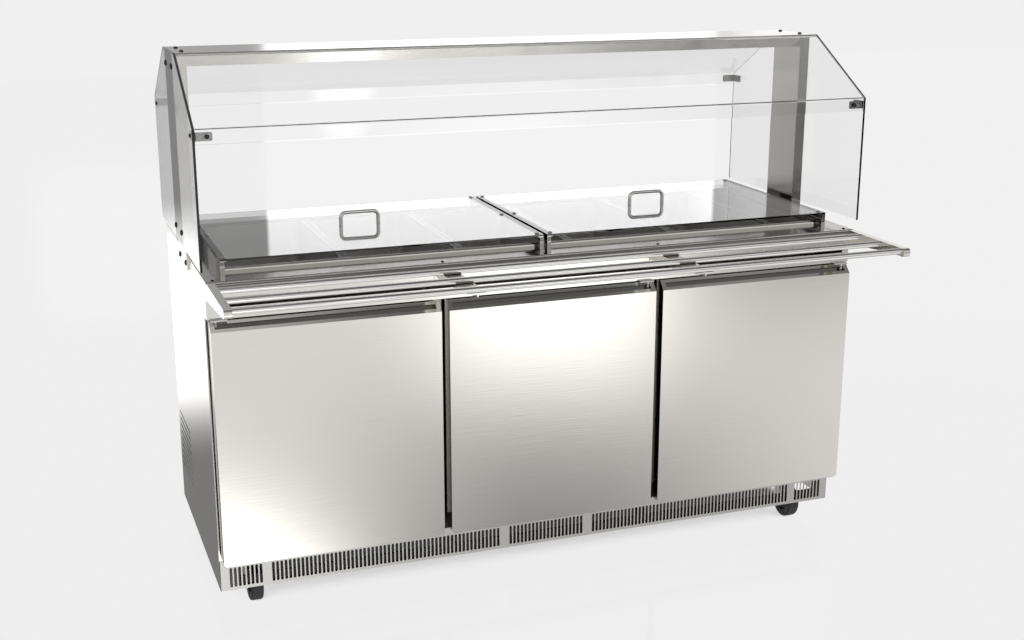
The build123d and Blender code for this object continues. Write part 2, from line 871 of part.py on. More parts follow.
def clip_level():
    """Height of the middle of the corner clips."""
    return guard_bend_height - clip_drop - clip_height / 2


def corner_clip():
    """Angle clip inside the front left corner, joining the lip to the end pane."""
    y0 = post_centre - guard_half_bend + glass
    x0 = -post_face
    g = clip_gauge
    outline = [
        (x0, y0), (x0 + clip_leg, y0), (x0 + clip_leg, y0 + g), (x0 + g, y0 + g), (x0 + g, y0 + clip_leg),
        (x0, y0 + clip_leg),
    ]
    low = clip_level() - clip_height / 2
    clip = prism_z(outline, low, low + clip_height)
    across = clip.edges().filter_by(Axis.X).group_by(Axis.Y)[-1]
    along = clip.edges().filter_by(Axis.Y).group_by(Axis.X)[-1]
    clip = fillet(across + along, clip_corner)
    shank = bolt_shank / 2
    clip -= rod_y(shank, -post_face + clip_hole, y0 - past, y0 + g + past, clip_level())
    clip -= rod_x(shank, x0 - past, x0 + g + past, y0 + clip_hole, clip_level())
    return clip


def side_bolt_places():
    """Y and Z of the bolts through each end pane into its post."""
    places = []
    for level in (cap_under - guard_top_bolt, guard_glass_bottom + guard_bottom_bolt):
        for y in (post_centre - bolt_spacing / 2, post_centre + bolt_spacing / 2):
            places.append((y, level))
    return places


def foot_bolt_places():
    """Y and Z of the bolts in each post foot."""
    level = worktop_height - foot_bolt
    return [(post_centre - bolt_spacing / 2, level), (post_centre + bolt_spacing / 2, level)]


def cap_bolt_places():
    """X and Y of the screws that hold the cap to the beam ends."""
    x = post_face - cap_bolt_inset
    places = []
    for side in (-1, 1):
        for y in (post_centre - bolt_spacing / 2, post_centre + bolt_spacing / 2):
            places.append((side * x, y))
    return places


def side_bolt_holes():
    """Drillings for the bolts on the left side, through the glass and the post's outer wall."""
    holes = []
    deep = -post_face + post_wall + past
    for y, z in side_bolt_places() + foot_bolt_places():
        holes.append(rod_x(bolt_shank + bolt_fit, -glass_face - past, deep, y, z))
    return holes


def tray_bracket():
    """Left end bracket of the tray slide: a tapered channel, open below, with a rounded solid nose."""
    g = bracket_gauge
    tip = -tray_reach
    back = nose_front
    outline = [
        (tip, tray_top), (back, tray_top), (back, fascia_top), (fascia_face, fascia_top),
        (fascia_face, tray_top - bracket_root), (tip, tray_top - bracket_tip),
    ]
    body = prism_x(outline, -side_face, -side_face + bracket_width)
    nose = edges_at(body, tip, tray_top) + edges_at(body, tip, tray_top - bracket_tip)
    body = fillet(nose, bracket_nose)
    low = tray_top - bracket_root - past
    body -= block(-side_face + g, -side_face + bracket_width - g, tip + bracket_nose, fascia_face - g,
                  low, tray_top - g)
    skirt = block(-side_face + g + past, -side_face + bracket_width + past, tip - past, fascia_face + past,
                  low, tray_top - bracket_tip)
    return body - skirt


def mid_bracket():
    """Bracket under the tubes: wall plate, tapered web and a plate that the tubes lie on."""
    half = mid_bracket_width / 2
    g = mid_bracket_gauge
    seat = tube_level - tube_radius - tube_seat_gap
    tip = tube_places[0] - tube_radius / 2
    body = block(-half, half, tip, nose_front, seat - g, seat)
    web = [
        (tip, seat - g), (nose_front, seat - g), (nose_front, fascia_top), (fascia_face, fascia_top),
        (fascia_face, seat - mid_bracket_root), (tip, seat - mid_bracket_tip),
    ]
    body += prism_x(web, -g / 2, g / 2)
    body += block(-half, half, fascia_face - g, fascia_face, seat - mid_bracket_root, fascia_top)
    return body


def tray_tube(y):
    """Round tube between the end brackets."""
    tube = rod_x(tube_radius, -tube_end, tube_end, y, tube_level)
    return tube - rod_x(tube_radius - tube_wall, -tube_end - past, tube_end + past, y, tube_level)


def bolt_x(x_face, y, z, side, grip):
    """Bolt with its head outside a face on the left (-1) or right (1)."""
    x_head = x_face + side * bolt_head_height
    x_tip = x_face - side * grip
    head = rod_x(bolt_head, min(x_face, x_head), max(x_face, x_head), y, z)
    return head + rod_x(bolt_shank, min(x_face, x_tip), max(x_face, x_tip), y, z)


def guard_bolts():
    """Bolts through the end panes and post feet, and cap screws."""
    bolts = []
    for side in (-1, 1):
        for y, z in side_bolt_places():
            bolts.append(bolt_x(side * glass_face, y, z, side, glass + bolt_grip))
        for y, z in foot_bolt_places():
            bolts.append(bolt_x(side * post_face, y, z, side, post_wall + bolt_grip))
    for x, y in cap_bolt_places():
        screw = rod_z(cap_screw_head, x, y, guard_height, guard_height + bolt_head_height)
        bolts.append(screw + rod_z(bolt_shank, x, y, cap_under - bolt_grip, guard_height))
    return bolts


def clip_screws():
    """Screws through the lips and end panes into the corner clips."""
    screws = []
    r = bolt_shank / 2
    head = clip_screw_head
    h = clip_screw_height
    z = clip_level()
    reach = glass + clip_gauge
    for side in (-1, 1):
        x = side * (post_face - clip_hole)
        for end in (-1, 1):
            face = post_centre + end * guard_half_bend
            y_out = face + end * h
            y_in = face - end * reach
            screw = rod_y(head, x, min(face, y_out), max(face, y_out), z)
            screws.append(screw + rod_y(r, x, min(face, y_in), max(face, y_in), z))
            y = face - end * (glass + clip_hole)
            x_face = side * glass_face
            x_out = x_face + side * h
            x_in = x_face - side * reach
            screw = rod_x(head, min(x_face, x_out), max(x_face, x_out), y, z)
            screws.append(screw + rod_x(r, min(x_face, x_in), max(x_face, x_in), y, z))
    return screws


def tray_screws():
    """Screws in the front strip of the worktop, above the four tray brackets."""
    y = nose_front + worktop_screw_setback
    screws = []
    end = side_face - worktop_screw_end
    for x in (-end, -mullion_centre, mullion_centre, end):
        top = worktop_height + worktop_screw_height
        screws.append(rod_z(worktop_screw_head, x, y, worktop_height, top))
    return screws


def caster_plate_piece(x, y):
    """Top plate, ball race housing and kingpin of one caster."""
    half_x = caster_plate_width / 2
    half_y = caster_plate_length / 2
    low = floor_bottom - caster_plate
    plate = block(x - half_x, x + half_x, y - half_y, y + half_y, low, floor_bottom)
    plate += rod_z(race_radius, x, y, low - race_height, low)
    crown_low = low - race_height - thrust_gap - fork_crown
    plate += rod_z(kingpin_radius, x, y, crown_low - thrust_gap, low)
    head_top = crown_low - thrust_gap
    plate += rod_z(kingpin_head, x, y, head_top - kingpin_head_height, head_top)
    return plate


def caster_fork(x, y):
    """Swivel fork with its axle; the wheel stands off the swivel axis by the trail."""
    crown_top = floor_bottom - caster_plate - race_height - thrust_gap
    crown_low = crown_top - fork_crown
    fork = rod_z(race_radius, x, y, crown_low, crown_top)
    inner = wheel_width / 2 + hub_extra + fork_gap
    outer = inner + fork_gauge
    axle_y = y - caster_trail
    shoulder = fork_shoulder
    fork += block(x - outer, x + outer, y - shoulder, y + shoulder, crown_low, crown_top)
    leg = [
        (y + shoulder, crown_top), (y - shoulder, crown_top),
        (axle_y - fork_lead, wheel_level + fork_foot), (axle_y - fork_lead, wheel_level - fork_foot),
        (axle_y + fork_foot, wheel_level - fork_foot),
    ]
    for x0 in (x - outer, x + inner):
        fork += prism_x(leg, x0, x0 + fork_gauge)
    fork -= rod_z(kingpin_radius + running_clearance, x, y, crown_low - past, crown_top + past)
    fork += rod_x(axle_radius, x - outer - axle_end, x + outer + axle_end, axle_y, wheel_level)
    return fork


def caster_wheel(x, y):
    """Rubber-tyred wheel with a hub, on a plain bore."""
    half = wheel_width / 2
    tyre = Pos(x, y, wheel_level) * Rot(0, 90, 0) * Cylinder(wheel_radius, wheel_width)
    tyre = fillet(tyre.edges().filter_by(GeomType.CIRCLE), wheel_round)
    wheel = tyre + rod_x(hub_radius, x - half - hub_extra, x + half + hub_extra, y, wheel_level)
    reach = half + hub_extra + past
    return wheel - rod_x(axle_radius + running_clearance, x - reach, x + reach, y, wheel_level)


def condenser():
    """Finned coil with a fan shroud and motor bracket, behind the side louvres."""
    y0 = machine_middle - coil_width / 2
    y1 = machine_middle + coil_width / 2
    z0 = floor_top
    z1 = floor_top + coil_height
    x0 = -coil_face
    x1 = x0 + coil_thickness
    g = shroud_gauge
    coil = block(x0 + g, x1 - g, y0, y1, z0, z1)
    step = coil_width / (coil_fins + 1)
    for n in range(coil_fins):
        y = y0 + (n + 1) * step
        coil -= block(x0, x0 + coil_fin_depth, y - step / 4, y + step / 4,
                      z0 + coil_margin, z1 - coil_margin)
    shroud = block(x1 - g, x1 + shroud_depth, y0, y1, z0, z1)
    shroud -= block(x1, x1 + shroud_depth - g, y0 + g, y1 - g, z0 + g, z1 - g)
    zc = (z0 + z1) / 2
    shroud -= rod_x(fan_radius + fan_clearance, x1, x1 + shroud_depth + past, machine_middle, zc)
    body = coil + shroud
    motor_front = x1 + shroud_depth + fan_clearance
    body += rod_x(motor_radius, motor_front, motor_front + motor_length, machine_middle, zc)
    body += rod_x(shaft_radius, x1 + fan_clearance, motor_front, machine_middle, zc)
    arm_face = motor_front + motor_arm_setback
    arm_back = arm_face + motor_arm_gauge
    low = zc - motor_arm_width / 2
    high = zc + motor_arm_width / 2
    for end, inward in ((y0, motor_arm_gauge), (y1, -motor_arm_gauge)):
        y_a, y_b = sorted((machine_middle, end))
        body += block(arm_face, arm_back, y_a, y_b, low, high)
        y_a, y_b = sorted((end, end + inward))
        body += block(x1 + shroud_depth - g, arm_back, y_a, y_b, low, high)
    return body


def condenser_fan():
    """Five-bladed fan on the motor shaft."""
    x1 = -coil_face + coil_thickness
    zc = floor_top + coil_height / 2
    start = x1 + fan_clearance + fan_shaft_start
    hub = Cylinder(fan_hub, fan_depth)
    blade = Rot(fan_pitch, 0, 0) * Box(fan_radius - fan_hub / 2, fan_chord, fan_gauge)
    blade = Pos(fan_radius / 2 + fan_hub / 4, 0, 0) * blade
    ring = Cylinder(fan_radius, fan_depth)
    blade = blade & ring
    fan = hub
    for n in range(fan_blades):
        fan += Rot(0, 0, n * 360 / fan_blades) * blade
    fan -= Cylinder(shaft_radius + running_clearance, fan_depth + 2 * past)
    return Pos(start + fan_depth / 2, machine_middle, zc) * Rot(0, 90, 0) * fan


def compressor():
    """Hermetic compressor: a domed can on a base plate."""
    r = compressor_radius
    h = compressor_height
    can = Cylinder(r, h)
    can = fillet(can.edges().filter_by(GeomType.CIRCLE), compressor_round)
    x = -coil_face + compressor_offset
    body = Pos(x, machine_middle, floor_top + compressor_foot + h / 2) * can
    plate_top = floor_top + compressor_plate
    body += block(x - r, x + r, machine_middle - r, machine_middle + r, floor_top, plate_top)
    body += rod_z(compressor_stem, x, machine_middle, plate_top, floor_top + compressor_foot + h / 2)
    half = terminal_size / 2
    level = floor_top + compressor_foot + h / 2
    body += block(x + r - terminal_sink, x + r + terminal_reach, machine_middle - half, machine_middle + half,
                  level - half, level + half)
    return body


def evaporator():
    """Finned coil in a tray, hung under the ceiling of the storage space at the back."""
    half = evaporator_width / 2
    back = liner_back - sheet
    front = back - evaporator_depth
    top = top_rail_bottom - sheet
    low = top - evaporator_height
    body = block(-half, half, front, back, low + evaporator_drop, top)
    step = evaporator_width / (evaporator_fins + 1)
    for n in range(evaporator_fins):
        x = -half + (n + 1) * step
        body -= block(x - step / 4, x + step / 4, front - past, back - evaporator_core,
                      low + 2 * evaporator_drop, top - evaporator_drop)
    lip = evaporator_lip
    body += block(-half - lip, half + lip, front - lip, back, low, low + evaporator_drop)
    return body


def build():
    """Make every piece."""
    keep("left_side_panel", side_panel(True))
    keep("right_side_panel", mirrored(side_panel(False)))
    keep("rear_panel", rear_panel())
    keep("base_frame", base_frame())
    keep("kick_grille", kick_grille())
    keep("fascia", fascia())
    keep("mullions", group([Pos(side * mullion_centre, 0, 0) * mullion() for side in (-1, 1)]))
    keep("inner_liner", inner_liner())
    bay = liner_side - sheet - shelf_gap
    inner_half = mullion_centre - mullion_width / 2 - shelf_gap
    outer_start = mullion_centre + mullion_width / 2 + shelf_gap
    keep("wire_shelves", group([
        wire_shelf(-bay, -outer_start), wire_shelf(-inner_half, inner_half), wire_shelf(outer_start, bay),
    ]))
    keep("worktop", worktop())
    keep("well_liner", well_liner())
    keep("pan_frame", pan_frame())
    edges = bay_edges()
    for n in range(bay_count + 1):
        keep(f"pan_{n + 1}", pan(edges[n], edges[n + 1]))
    post = guard_post()
    keep("guard_post_left", post)
    keep("guard_post_right", mirrored(post))
    keep("guard_beam", guard_beam())
    keep("guard_cap", guard_cap())
    pane = end_glass()
    keep("end_glass_left", pane)
    keep("end_glass_right", mirrored(pane))
    front_pane = bent_pane()
    middle_plane = Plane.XZ.offset(-post_centre)
    keep("front_glass", front_pane)
    keep("back_glass", mirror(front_pane, about=middle_plane))
    clip = corner_clip()
    back_clip = mirror(clip, about=middle_plane)
    keep("corner_clips", group([clip, mirrored(clip), back_clip, mirrored(back_clip)]))
    keep("bolts", group(guard_bolts() + clip_screws() + tray_screws()))
    bracket = tray_bracket()
    keep("tray_bracket_left", bracket)
    keep("tray_bracket_right", mirrored(bracket))
    keep("tray_mid_brackets", group([Pos(side * mullion_centre, 0, 0) * mid_bracket() for side in (-1, 1)]))
    keep("tray_tubes", group([tray_tube(y) for y in tube_places]))
    hinges = []
    doors = (("left", -door_pitch, -1), ("middle", 0, 1), ("right", door_pitch, 1))
    for name, x, hinge_side in doors:
        keep(f"door_{name}", Pos(x, 0, 0) * door(hinge_side))
        keep(f"door_{name}_gasket", Pos(x, 0, 0) * door_gasket())
        hinges.extend(Pos(x, 0, 0) * piece for piece in hinge_pair(hinge_side))
    keep("hinge_brackets", group(hinges))
    lid(-1)
    lid(1)
    plates = []
    corners = (
        ("front_left", -caster_x, front_caster), ("front_right", caster_x, front_caster),
        ("rear_left", -caster_x, rear_caster), ("rear_right", caster_x, rear_caster),
    )
    for name, x, y in corners:
        plates.append(caster_plate_piece(x, y))
        keep(f"caster_{name}_fork", caster_fork(x, y))
        keep(f"caster_{name}_wheel", caster_wheel(x, y - caster_trail))
    keep("caster_plates", group(plates))
    keep("condenser", condenser())
    keep("condenser_fan", condenser_fan())
    keep("compressor", compressor())
    keep("evaporator", evaporator())


build()
os.makedirs("parts", exist_ok=True)
for node, piece in PARTS.items():
    placed = [Pos(0, door_face_y, 0) * solid for solid in piece.solids()]
    export_step(Compound(placed), f"parts/{node}.step")
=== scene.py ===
"""Looks of a refrigerated salad bar: the finish of every piece, the fine pieces on it, and its stage.

Metres, +Z up, the user stands on the -Y side. Each operator dresses one group of pieces, and the
panel lists them in the order in which they run.
"""
import math

import bpy
import numpy as np
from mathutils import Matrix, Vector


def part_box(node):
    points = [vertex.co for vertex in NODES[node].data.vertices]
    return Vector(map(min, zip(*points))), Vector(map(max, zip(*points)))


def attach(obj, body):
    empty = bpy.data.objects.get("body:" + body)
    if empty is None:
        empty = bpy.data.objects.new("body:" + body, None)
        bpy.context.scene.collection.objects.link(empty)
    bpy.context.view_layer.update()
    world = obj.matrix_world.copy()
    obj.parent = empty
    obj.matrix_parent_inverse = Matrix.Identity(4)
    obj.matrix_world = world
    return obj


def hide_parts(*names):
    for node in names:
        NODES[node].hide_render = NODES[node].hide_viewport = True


bl_info = {
    "name": "Salad bar looks",
    "version": (1, 0, 0),
    "blender": (4, 5, 0),
    "location": "View3D > Sidebar > Salad bar",
    "description": "Dresses the construction of a refrigerated salad bar",
    "category": "Object",
}

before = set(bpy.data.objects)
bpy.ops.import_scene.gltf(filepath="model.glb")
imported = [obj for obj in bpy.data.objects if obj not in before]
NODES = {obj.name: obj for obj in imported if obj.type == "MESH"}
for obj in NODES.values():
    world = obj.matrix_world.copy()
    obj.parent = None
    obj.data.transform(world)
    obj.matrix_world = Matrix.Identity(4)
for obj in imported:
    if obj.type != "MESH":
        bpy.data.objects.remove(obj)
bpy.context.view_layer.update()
ROOT = "cabinet"
SIDES = ("left", "right")
DOORS = ("left", "middle", "right")
CORNERS = ("front_left", "front_right", "rear_left", "rear_right")

# Roughness of the finishes that have no setting for it
ROUGH = {
    "pan": 0.45, "lid": 0.07, "base": 0.45, "grille": 0.3, "zinc": 0.35, "coil": 0.4, "clip": 0.3,
    "screw": 0.2, "bolt": 0.35, "head": 0.3, "rubber": 0.55, "tyre": 0.5, "hub": 0.4, "fan": 0.5,
    "can": 0.3,
}
GRAIN_SHARE = 0.6  # of the grain in a metal's tone, the rest being smudges
SMUDGES = 3.2  # slow smudges in a metre
METAL_SPREAD, DARK_SPREAD = 0.15, 0.2  # how far roughness strays from its mean
METAL_BUMP, DARK_BUMP = 0.00012, 0.0002  # height of the bump in metres
DARK_TONES = (0.7, 1.4)  # darkest and palest specks as shares of the colour
SQUARE_ON, LEVEL = 0.9, 0.97  # least share of a normal along an axis that the face looks along
EDGE_LIMIT = 0.3  # most of a normal along a pane's axis at its cut edges
GLASS_IOR = 1.5
SENSOR = 36.0  # width of the camera's sensor in millimetres
SOME = 0.5  # a count above this is 1 or more
WHEEL_STEPS, BOLT_STEPS, SCREW_STEPS = 64, 32, 24  # points round a lathed piece

# Settings


def colour_prop(name, description, value):
    """A colour that a user may change."""
    return bpy.props.FloatVectorProperty(
        name=name, description=description, subtype="COLOR", size=3, min=0.0, max=1.0, default=value
    )


def share_prop(name, description, value, top=1.0):
    """A plain number from 0 up."""
    return bpy.props.FloatProperty(name=name, description=description, min=0.0, max=top, default=value)


def length_prop(name, description, value):
    """A length in metres."""
    return bpy.props.FloatProperty(
        name=name, description=description, min=0.0, default=value, unit="LENGTH", precision=4
    )


class SteelLook(bpy.types.PropertyGroup):
    """Finishes of the stainless sheet, and the shade painted on parts of it."""

    sheet: colour_prop("Sheet", "Colour of the satin sheet", (0.66, 0.64, 0.605))
    door: colour_prop("Door", "Colour of the door skins", (0.67, 0.65, 0.615))
    bright: colour_prop("Bright", "Colour of tubes and handles", (0.74, 0.73, 0.71))
    pan: colour_prop("Pan", "Colour of the pans, the well and the lining", (0.78, 0.77, 0.75))
    # Painted shade: the pans' upper rims near black, as they sit in shade under the lids
    rim: colour_prop("Pan rim", "Colour of the pans' upper rims", (0.13, 0.127, 0.122))
    lid: colour_prop("Lid wall", "Colour of the lids' folded walls", (0.6, 0.585, 0.56))
    # Painted shade: the lid walls' outer faces much darker than the walls themselves
    lid_end: colour_prop("Lid end", "Colour of the lid walls' outer faces", (0.15, 0.147, 0.14))
    # Painted shade: a darker colour inside the doors' pull grooves, where the recess lies in shade
    groove: colour_prop("Groove", "Colour inside the pull grooves", (0.3, 0.293, 0.28))
    # Painted shade: the doors' side faces darker than their fronts
    door_side_shade: colour_prop("Door side", "Colour of the doors' side faces", (0.34, 0.332, 0.315))
    # Painted shade: the worktop's upper face darker than the rest of its sheet
    deck: colour_prop("Deck", "Colour of the worktop's upper face", (0.36, 0.352, 0.33))
    grille: colour_prop("Grille", "Colour of the kick plate", (0.45, 0.44, 0.42))
    # Painted shade: near black on the base frame behind the kick plate's slots, on the side stiles behind
    # the plate and inside the louvres
    base: colour_prop("Base", "Colour of the base and of dark recesses", (0.03, 0.03, 0.029))
    zinc: colour_prop("Zinc", "Colour of caster plates, forks and hinges", (0.5, 0.5, 0.49))
    coil: colour_prop("Coil", "Colour of the coils' fins", (0.6, 0.6, 0.61))
    screw: colour_prop("Screw", "Colour of the lid screws", (0.5, 0.49, 0.47))
    sheet_rough: share_prop("Sheet roughness", "How soft reflections on the sheet are", 0.12)
    door_rough: share_prop("Door roughness", "How soft reflections on doors and sides are", 0.12)
    bright_rough: share_prop("Bright roughness", "How soft reflections on wire are", 0.14)
    tube_rough: share_prop("Tube roughness", "How soft reflections on tubes and rods are", 0.05)
    grain_across: share_prop("Grain across", "Brush lines in a metre across the grain", 420.0, 5000.0)
    grain_along: share_prop("Grain along", "Brush breaks in a metre along the grain", 7.0, 500.0)


class GlassLook(bpy.types.PropertyGroup):
    """Finishes of the guard panes and the lids."""

    clear: colour_prop("Clear", "Tint through a pane", (0.99, 0.992, 0.99))
    edge: colour_prop("Edge", "Tint at a cut edge", (0.05, 0.055, 0.052))
    lip: colour_prop("Lip edge", "Tint at the edges of bent panes and lids", (0.62, 0.65, 0.63))


class DarkLook(bpy.types.PropertyGroup):
    """Finishes of rubber, plastic and painted pieces."""

    rubber: colour_prop("Rubber", "Colour of wheels and seals", (0.018, 0.018, 0.019))
    bolt: colour_prop("Bolt", "Colour of the blackened bolts", (0.022, 0.022, 0.023))
    clip: colour_prop("Clip", "Colour of the corner clips", (0.28, 0.275, 0.265))
    fan: colour_prop("Fan", "Colour of the fan and the compressor", (0.03, 0.03, 0.032))
    hub: colour_prop("Hub", "Colour of the moulded wheel hubs", (0.05, 0.05, 0.052))


class DetailSizes(bpy.types.PropertyGroup):
    """Sizes of the fine pieces."""

    slot_pitch: length_prop("Slot pitch", "From one grille slot to the next", 0.0112)
    slot_width: length_prop("Slot width", "Width of a grille slot", 0.0074)
    slot_height: length_prop("Slot height", "Height of a grille slot", 0.055)
    slot_foot: length_prop("Slot foot", "From the lower edge of the plate to the slots", 0.008)
    field_edge: length_prop("Field edge", "Plain strip at each end of the grille", 0.020)
    end_run: length_prop("End field", "Length of each end field", 0.092)
    end_bar: length_prop("End bar", "Plain bar beside an end field", 0.018)
    middle_run: length_prop("Middle field", "Length of the middle field", 0.227)
    middle_bar: length_prop("Middle bar", "Plain bar beside the middle field", 0.022)
    bow_rod: length_prop("Bow rod", "Thickness of a lid handle's rod", 0.010)
    bow_rise: length_prop("Bow rise", "Height of a lid handle above its lid", 0.042)
    bow_bend: length_prop("Bow bend", "Bend of a lid handle's rod", 0.014)
    bow_nut: length_prop("Bow nut", "Radius of a lid handle's nuts", 0.006)
    tube_wall: length_prop("Tube wall", "Wall of a tray tube", 0.0015)
    bolt_spacing: length_prop("Bolt spacing", "From one guard bolt to its neighbour", 0.110)
    bolt_head: length_prop("Bolt head", "Radius of a guard bolt's head", 0.008)
    bolt_rise: length_prop("Bolt rise", "Height of a guard bolt's head", 0.0035)
    bolt_drop: length_prop("Bolt drop", "From a pane's edge or the cap to its bolts", 0.035)
    foot_drop: length_prop("Foot bolt", "From the worktop down to the foot bolts", 0.018)
    screw_head: length_prop("Screw head", "Radius of a cap or lid screw's head", 0.006)
    cap_inset: length_prop("Cap screw", "From a post's outer face to the cap screws", 0.022)
    clip_hole: length_prop("Clip screw", "From a pane's end to its clip screw", 0.029)
    clip_head: length_prop("Clip screw head", "Radius of a clip screw's head", 0.0056)
    clip_rise: length_prop("Clip screw rise", "Height of a clip screw's head", 0.0028)
    clip_leg: length_prop("Clip leg", "Length of a corner clip's legs", 0.042)
    clip_gauge: length_prop("Clip gauge", "Thickness of a corner clip", 0.003)
    clip_corner: length_prop("Clip corner", "Rounding of a clip's free corners", 0.004)
    clip_shim: length_prop("Clip shim", "Hair's breadth between a clip and its pane", 0.0003)
    lid_gap: length_prop("Lid gap", "From the worktop up to the lids' walls", 0.0003)
    lid_inset: length_prop("Lid screw inset", "From a lid's end to its screws", 0.014)
    lid_end: length_prop("Lid screw end", "From a lid's front or back to its screws", 0.016)
    top_inset: length_prop("Worktop screw inset", "From a worktop end to its screw", 0.020)
    top_setback: length_prop("Worktop screw setback", "From the nose to the worktop screws", 0.032)
    top_bracket: length_prop("Worktop screw bracket", "From a middle bracket's end to its screw", 0.023)
    top_head: length_prop("Worktop screw head", "Radius of a worktop screw's head", 0.0048)
    top_rise: length_prop("Worktop screw rise", "Height of a worktop screw's head", 0.0021)
    tyre: length_prop("Tyre", "Depth of a wheel's tyre", 0.016)
    bevel_rise: length_prop("Bevel rise", "Height of a door's top bevel", 0.024)
    bevel_depth: length_prop("Bevel depth", "Depth of a door's top bevel", 0.022)


class StageLook(bpy.types.PropertyGroup):
    """Camera, floor and light."""

    eye: bpy.props.FloatVectorProperty(
        name="Eye", description="Where the camera stands", size=3, unit="LENGTH",
        default=(-1.35586, -3.59525, 1.73438),
    )
    pitch: bpy.props.FloatProperty(
        name="Pitch", description="How far the camera looks down", unit="ROTATION",
        default=math.radians(15.579),
    )
    yaw: bpy.props.FloatProperty(
        name="Yaw", description="How far the camera is turned to the right", unit="ROTATION",
        default=math.radians(20.197),
    )
    lens: bpy.props.FloatProperty(
        name="Lens", description="Focal length on a 36 mm wide sensor", unit="CAMERA", default=49.63
    )
    backdrop: share_prop("Backdrop", "Brightness of the backdrop", 0.87)
    floor_glow: share_prop("Floor", "Brightness of the floor in the picture", 0.845)
    floor_gloss: share_prop("Floor gloss", "Strength of the floor's reflection", 0.03)
    floor_reach: length_prop("Floor reach", "Half the width of the floor", 14.0)


SETTINGS = (
    ("steel", SteelLook), ("glass", GlassLook), ("dark", DarkLook), ("detail", DetailSizes),
    ("stage", StageLook),
)


def look(name):
    """The settings of one kind."""
    return getattr(bpy.context.scene, f"salad_bar_{name}")


# Shader node groups and materials


def new_group(name, inputs, outputs):
    """An empty node group with named sockets, and its input and output nodes."""
    group = bpy.data.node_groups.new(name, "ShaderNodeTree")
    for label, kind, value in inputs:
        socket = group.interface.new_socket(label, in_out="INPUT", socket_type=kind)
        socket.default_value = value
    for label, kind in outputs:
        group.interface.new_socket(label, in_out="OUTPUT", socket_type=kind)
    return group, group.nodes.new("NodeGroupInput"), group.nodes.new("NodeGroupOutput")


def math_node(tree, operation, *values):
    """A Math node; each value is a number or a socket. Returns its result socket."""
    node = tree.nodes.new("ShaderNodeMath")
    node.operation = operation
    for socket, value in zip(node.inputs, values):
        if isinstance(value, (int, float)):
            socket.default_value = value
        else:
            tree.links.new(value, socket)
    return node.outputs[0]


def times(tree, first, second):
    """Product of two sockets, or of a socket and a number."""
    return math_node(tree, "MULTIPLY", first, second)


def preset(node, **values):
    """Sets a node's inputs by name, with _ for a blank. Returns the node."""
    for label, value in values.items():
        node.inputs[label.replace("_", " ")].default_value = value
    return node


def grain_group():
    """Brush grain, noise stretched along the brush direction, and smudges, noise of about a foot."""
    made = bpy.data.node_groups.get("Brush grain")
    if made:
        return made
    group, start, end = new_group(
        "Brush grain",
        [("Vector", "NodeSocketVector", (0, 0, 0)), ("Stretch", "NodeSocketVector", (1, 1, 1))],
        [("Grain", "NodeSocketFloat"), ("Smudge", "NodeSocketFloat")],
    )
    stretch = group.nodes.new("ShaderNodeVectorMath")
    stretch.operation = "MULTIPLY"
    group.links.new(start.outputs["Vector"], stretch.inputs[0])
    group.links.new(start.outputs["Stretch"], stretch.inputs[1])
    grain = preset(group.nodes.new("ShaderNodeTexNoise"), Scale=1.0, Detail=2.0)
    group.links.new(stretch.outputs[0], grain.inputs["Vector"])
    smudge = preset(group.nodes.new("ShaderNodeTexNoise"), Scale=SMUDGES, Detail=1.0)
    group.links.new(start.outputs["Vector"], smudge.inputs["Vector"])
    group.links.new(grain.outputs[0], end.inputs["Grain"])
    group.links.new(smudge.outputs[0], end.inputs["Smudge"])
    return group


def edge_group():
    """Cut edges of a pane: 1 where the surface turns away from the pane's own axis, 0 on its faces."""
    made = bpy.data.node_groups.get("Pane edge")
    if made:
        return made
    group, start, end = new_group(
        "Pane edge", [("Axis", "NodeSocketVector", (1.0, 0.0, 0.0))], [("Edge", "NodeSocketFloat")]
    )
    geometry = group.nodes.new("ShaderNodeNewGeometry")
    along = group.nodes.new("ShaderNodeVectorMath")
    along.operation = "DOT_PRODUCT"
    group.links.new(geometry.outputs["True Normal"], along.inputs[0])
    group.links.new(start.outputs["Axis"], along.inputs[1])
    size = math_node(group, "ABSOLUTE", along.outputs["Value"])
    group.links.new(math_node(group, "LESS_THAN", size, EDGE_LIMIT), end.inputs["Edge"])
    return group


def new_material(name):
    """A material with one Principled shader. Returns the material, its tree and the shader."""
    material = bpy.data.materials.new(name)
    material.use_nodes = True
    return material, material.node_tree, material.node_tree.nodes["Principled BSDF"]


def place_group(tree, group, **values):
    """Puts a node group into a material and sets its inputs."""
    node = tree.nodes.new("ShaderNodeGroup")
    node.node_tree = group
    return preset(node, **values)


def mix_colour(tree, factor, dark, pale):
    """Colour between two, by a factor socket."""
    node = tree.nodes.new("ShaderNodeMix")
    node.data_type = "RGBA"
    node.inputs[6].default_value = (*dark, 1.0)
    node.inputs[7].default_value = (*pale, 1.0)
    tree.links.new(factor, node.inputs[0])
    return node.outputs[2]


def coordinates(tree, kind):
    """Sockets of X, Y and Z of one kind of texture coordinate."""
    coords = tree.nodes.new("ShaderNodeTexCoord")
    parts = tree.nodes.new("ShaderNodeSeparateXYZ")
    tree.links.new(coords.outputs[kind], parts.inputs[0])
    return parts.outputs


def grained(tree, stretch):
    """Grain and smudge sockets in a piece's own space."""
    coords = tree.nodes.new("ShaderNodeTexCoord")
    grain = place_group(tree, grain_group(), Stretch=stretch)
    tree.links.new(coords.outputs["Object"], grain.inputs["Vector"])
    return grain.outputs["Grain"], grain.outputs["Smudge"]


def vary_colour(tree, shader, factor, colour, tones):
    """Shifts a shader's colour between two shares of it, by a factor socket."""
    dark, pale = ([min(1.0, channel * tone) for channel in colour] for tone in tones)
    tree.links.new(mix_colour(tree, factor, dark, pale), shader.inputs["Base Color"])


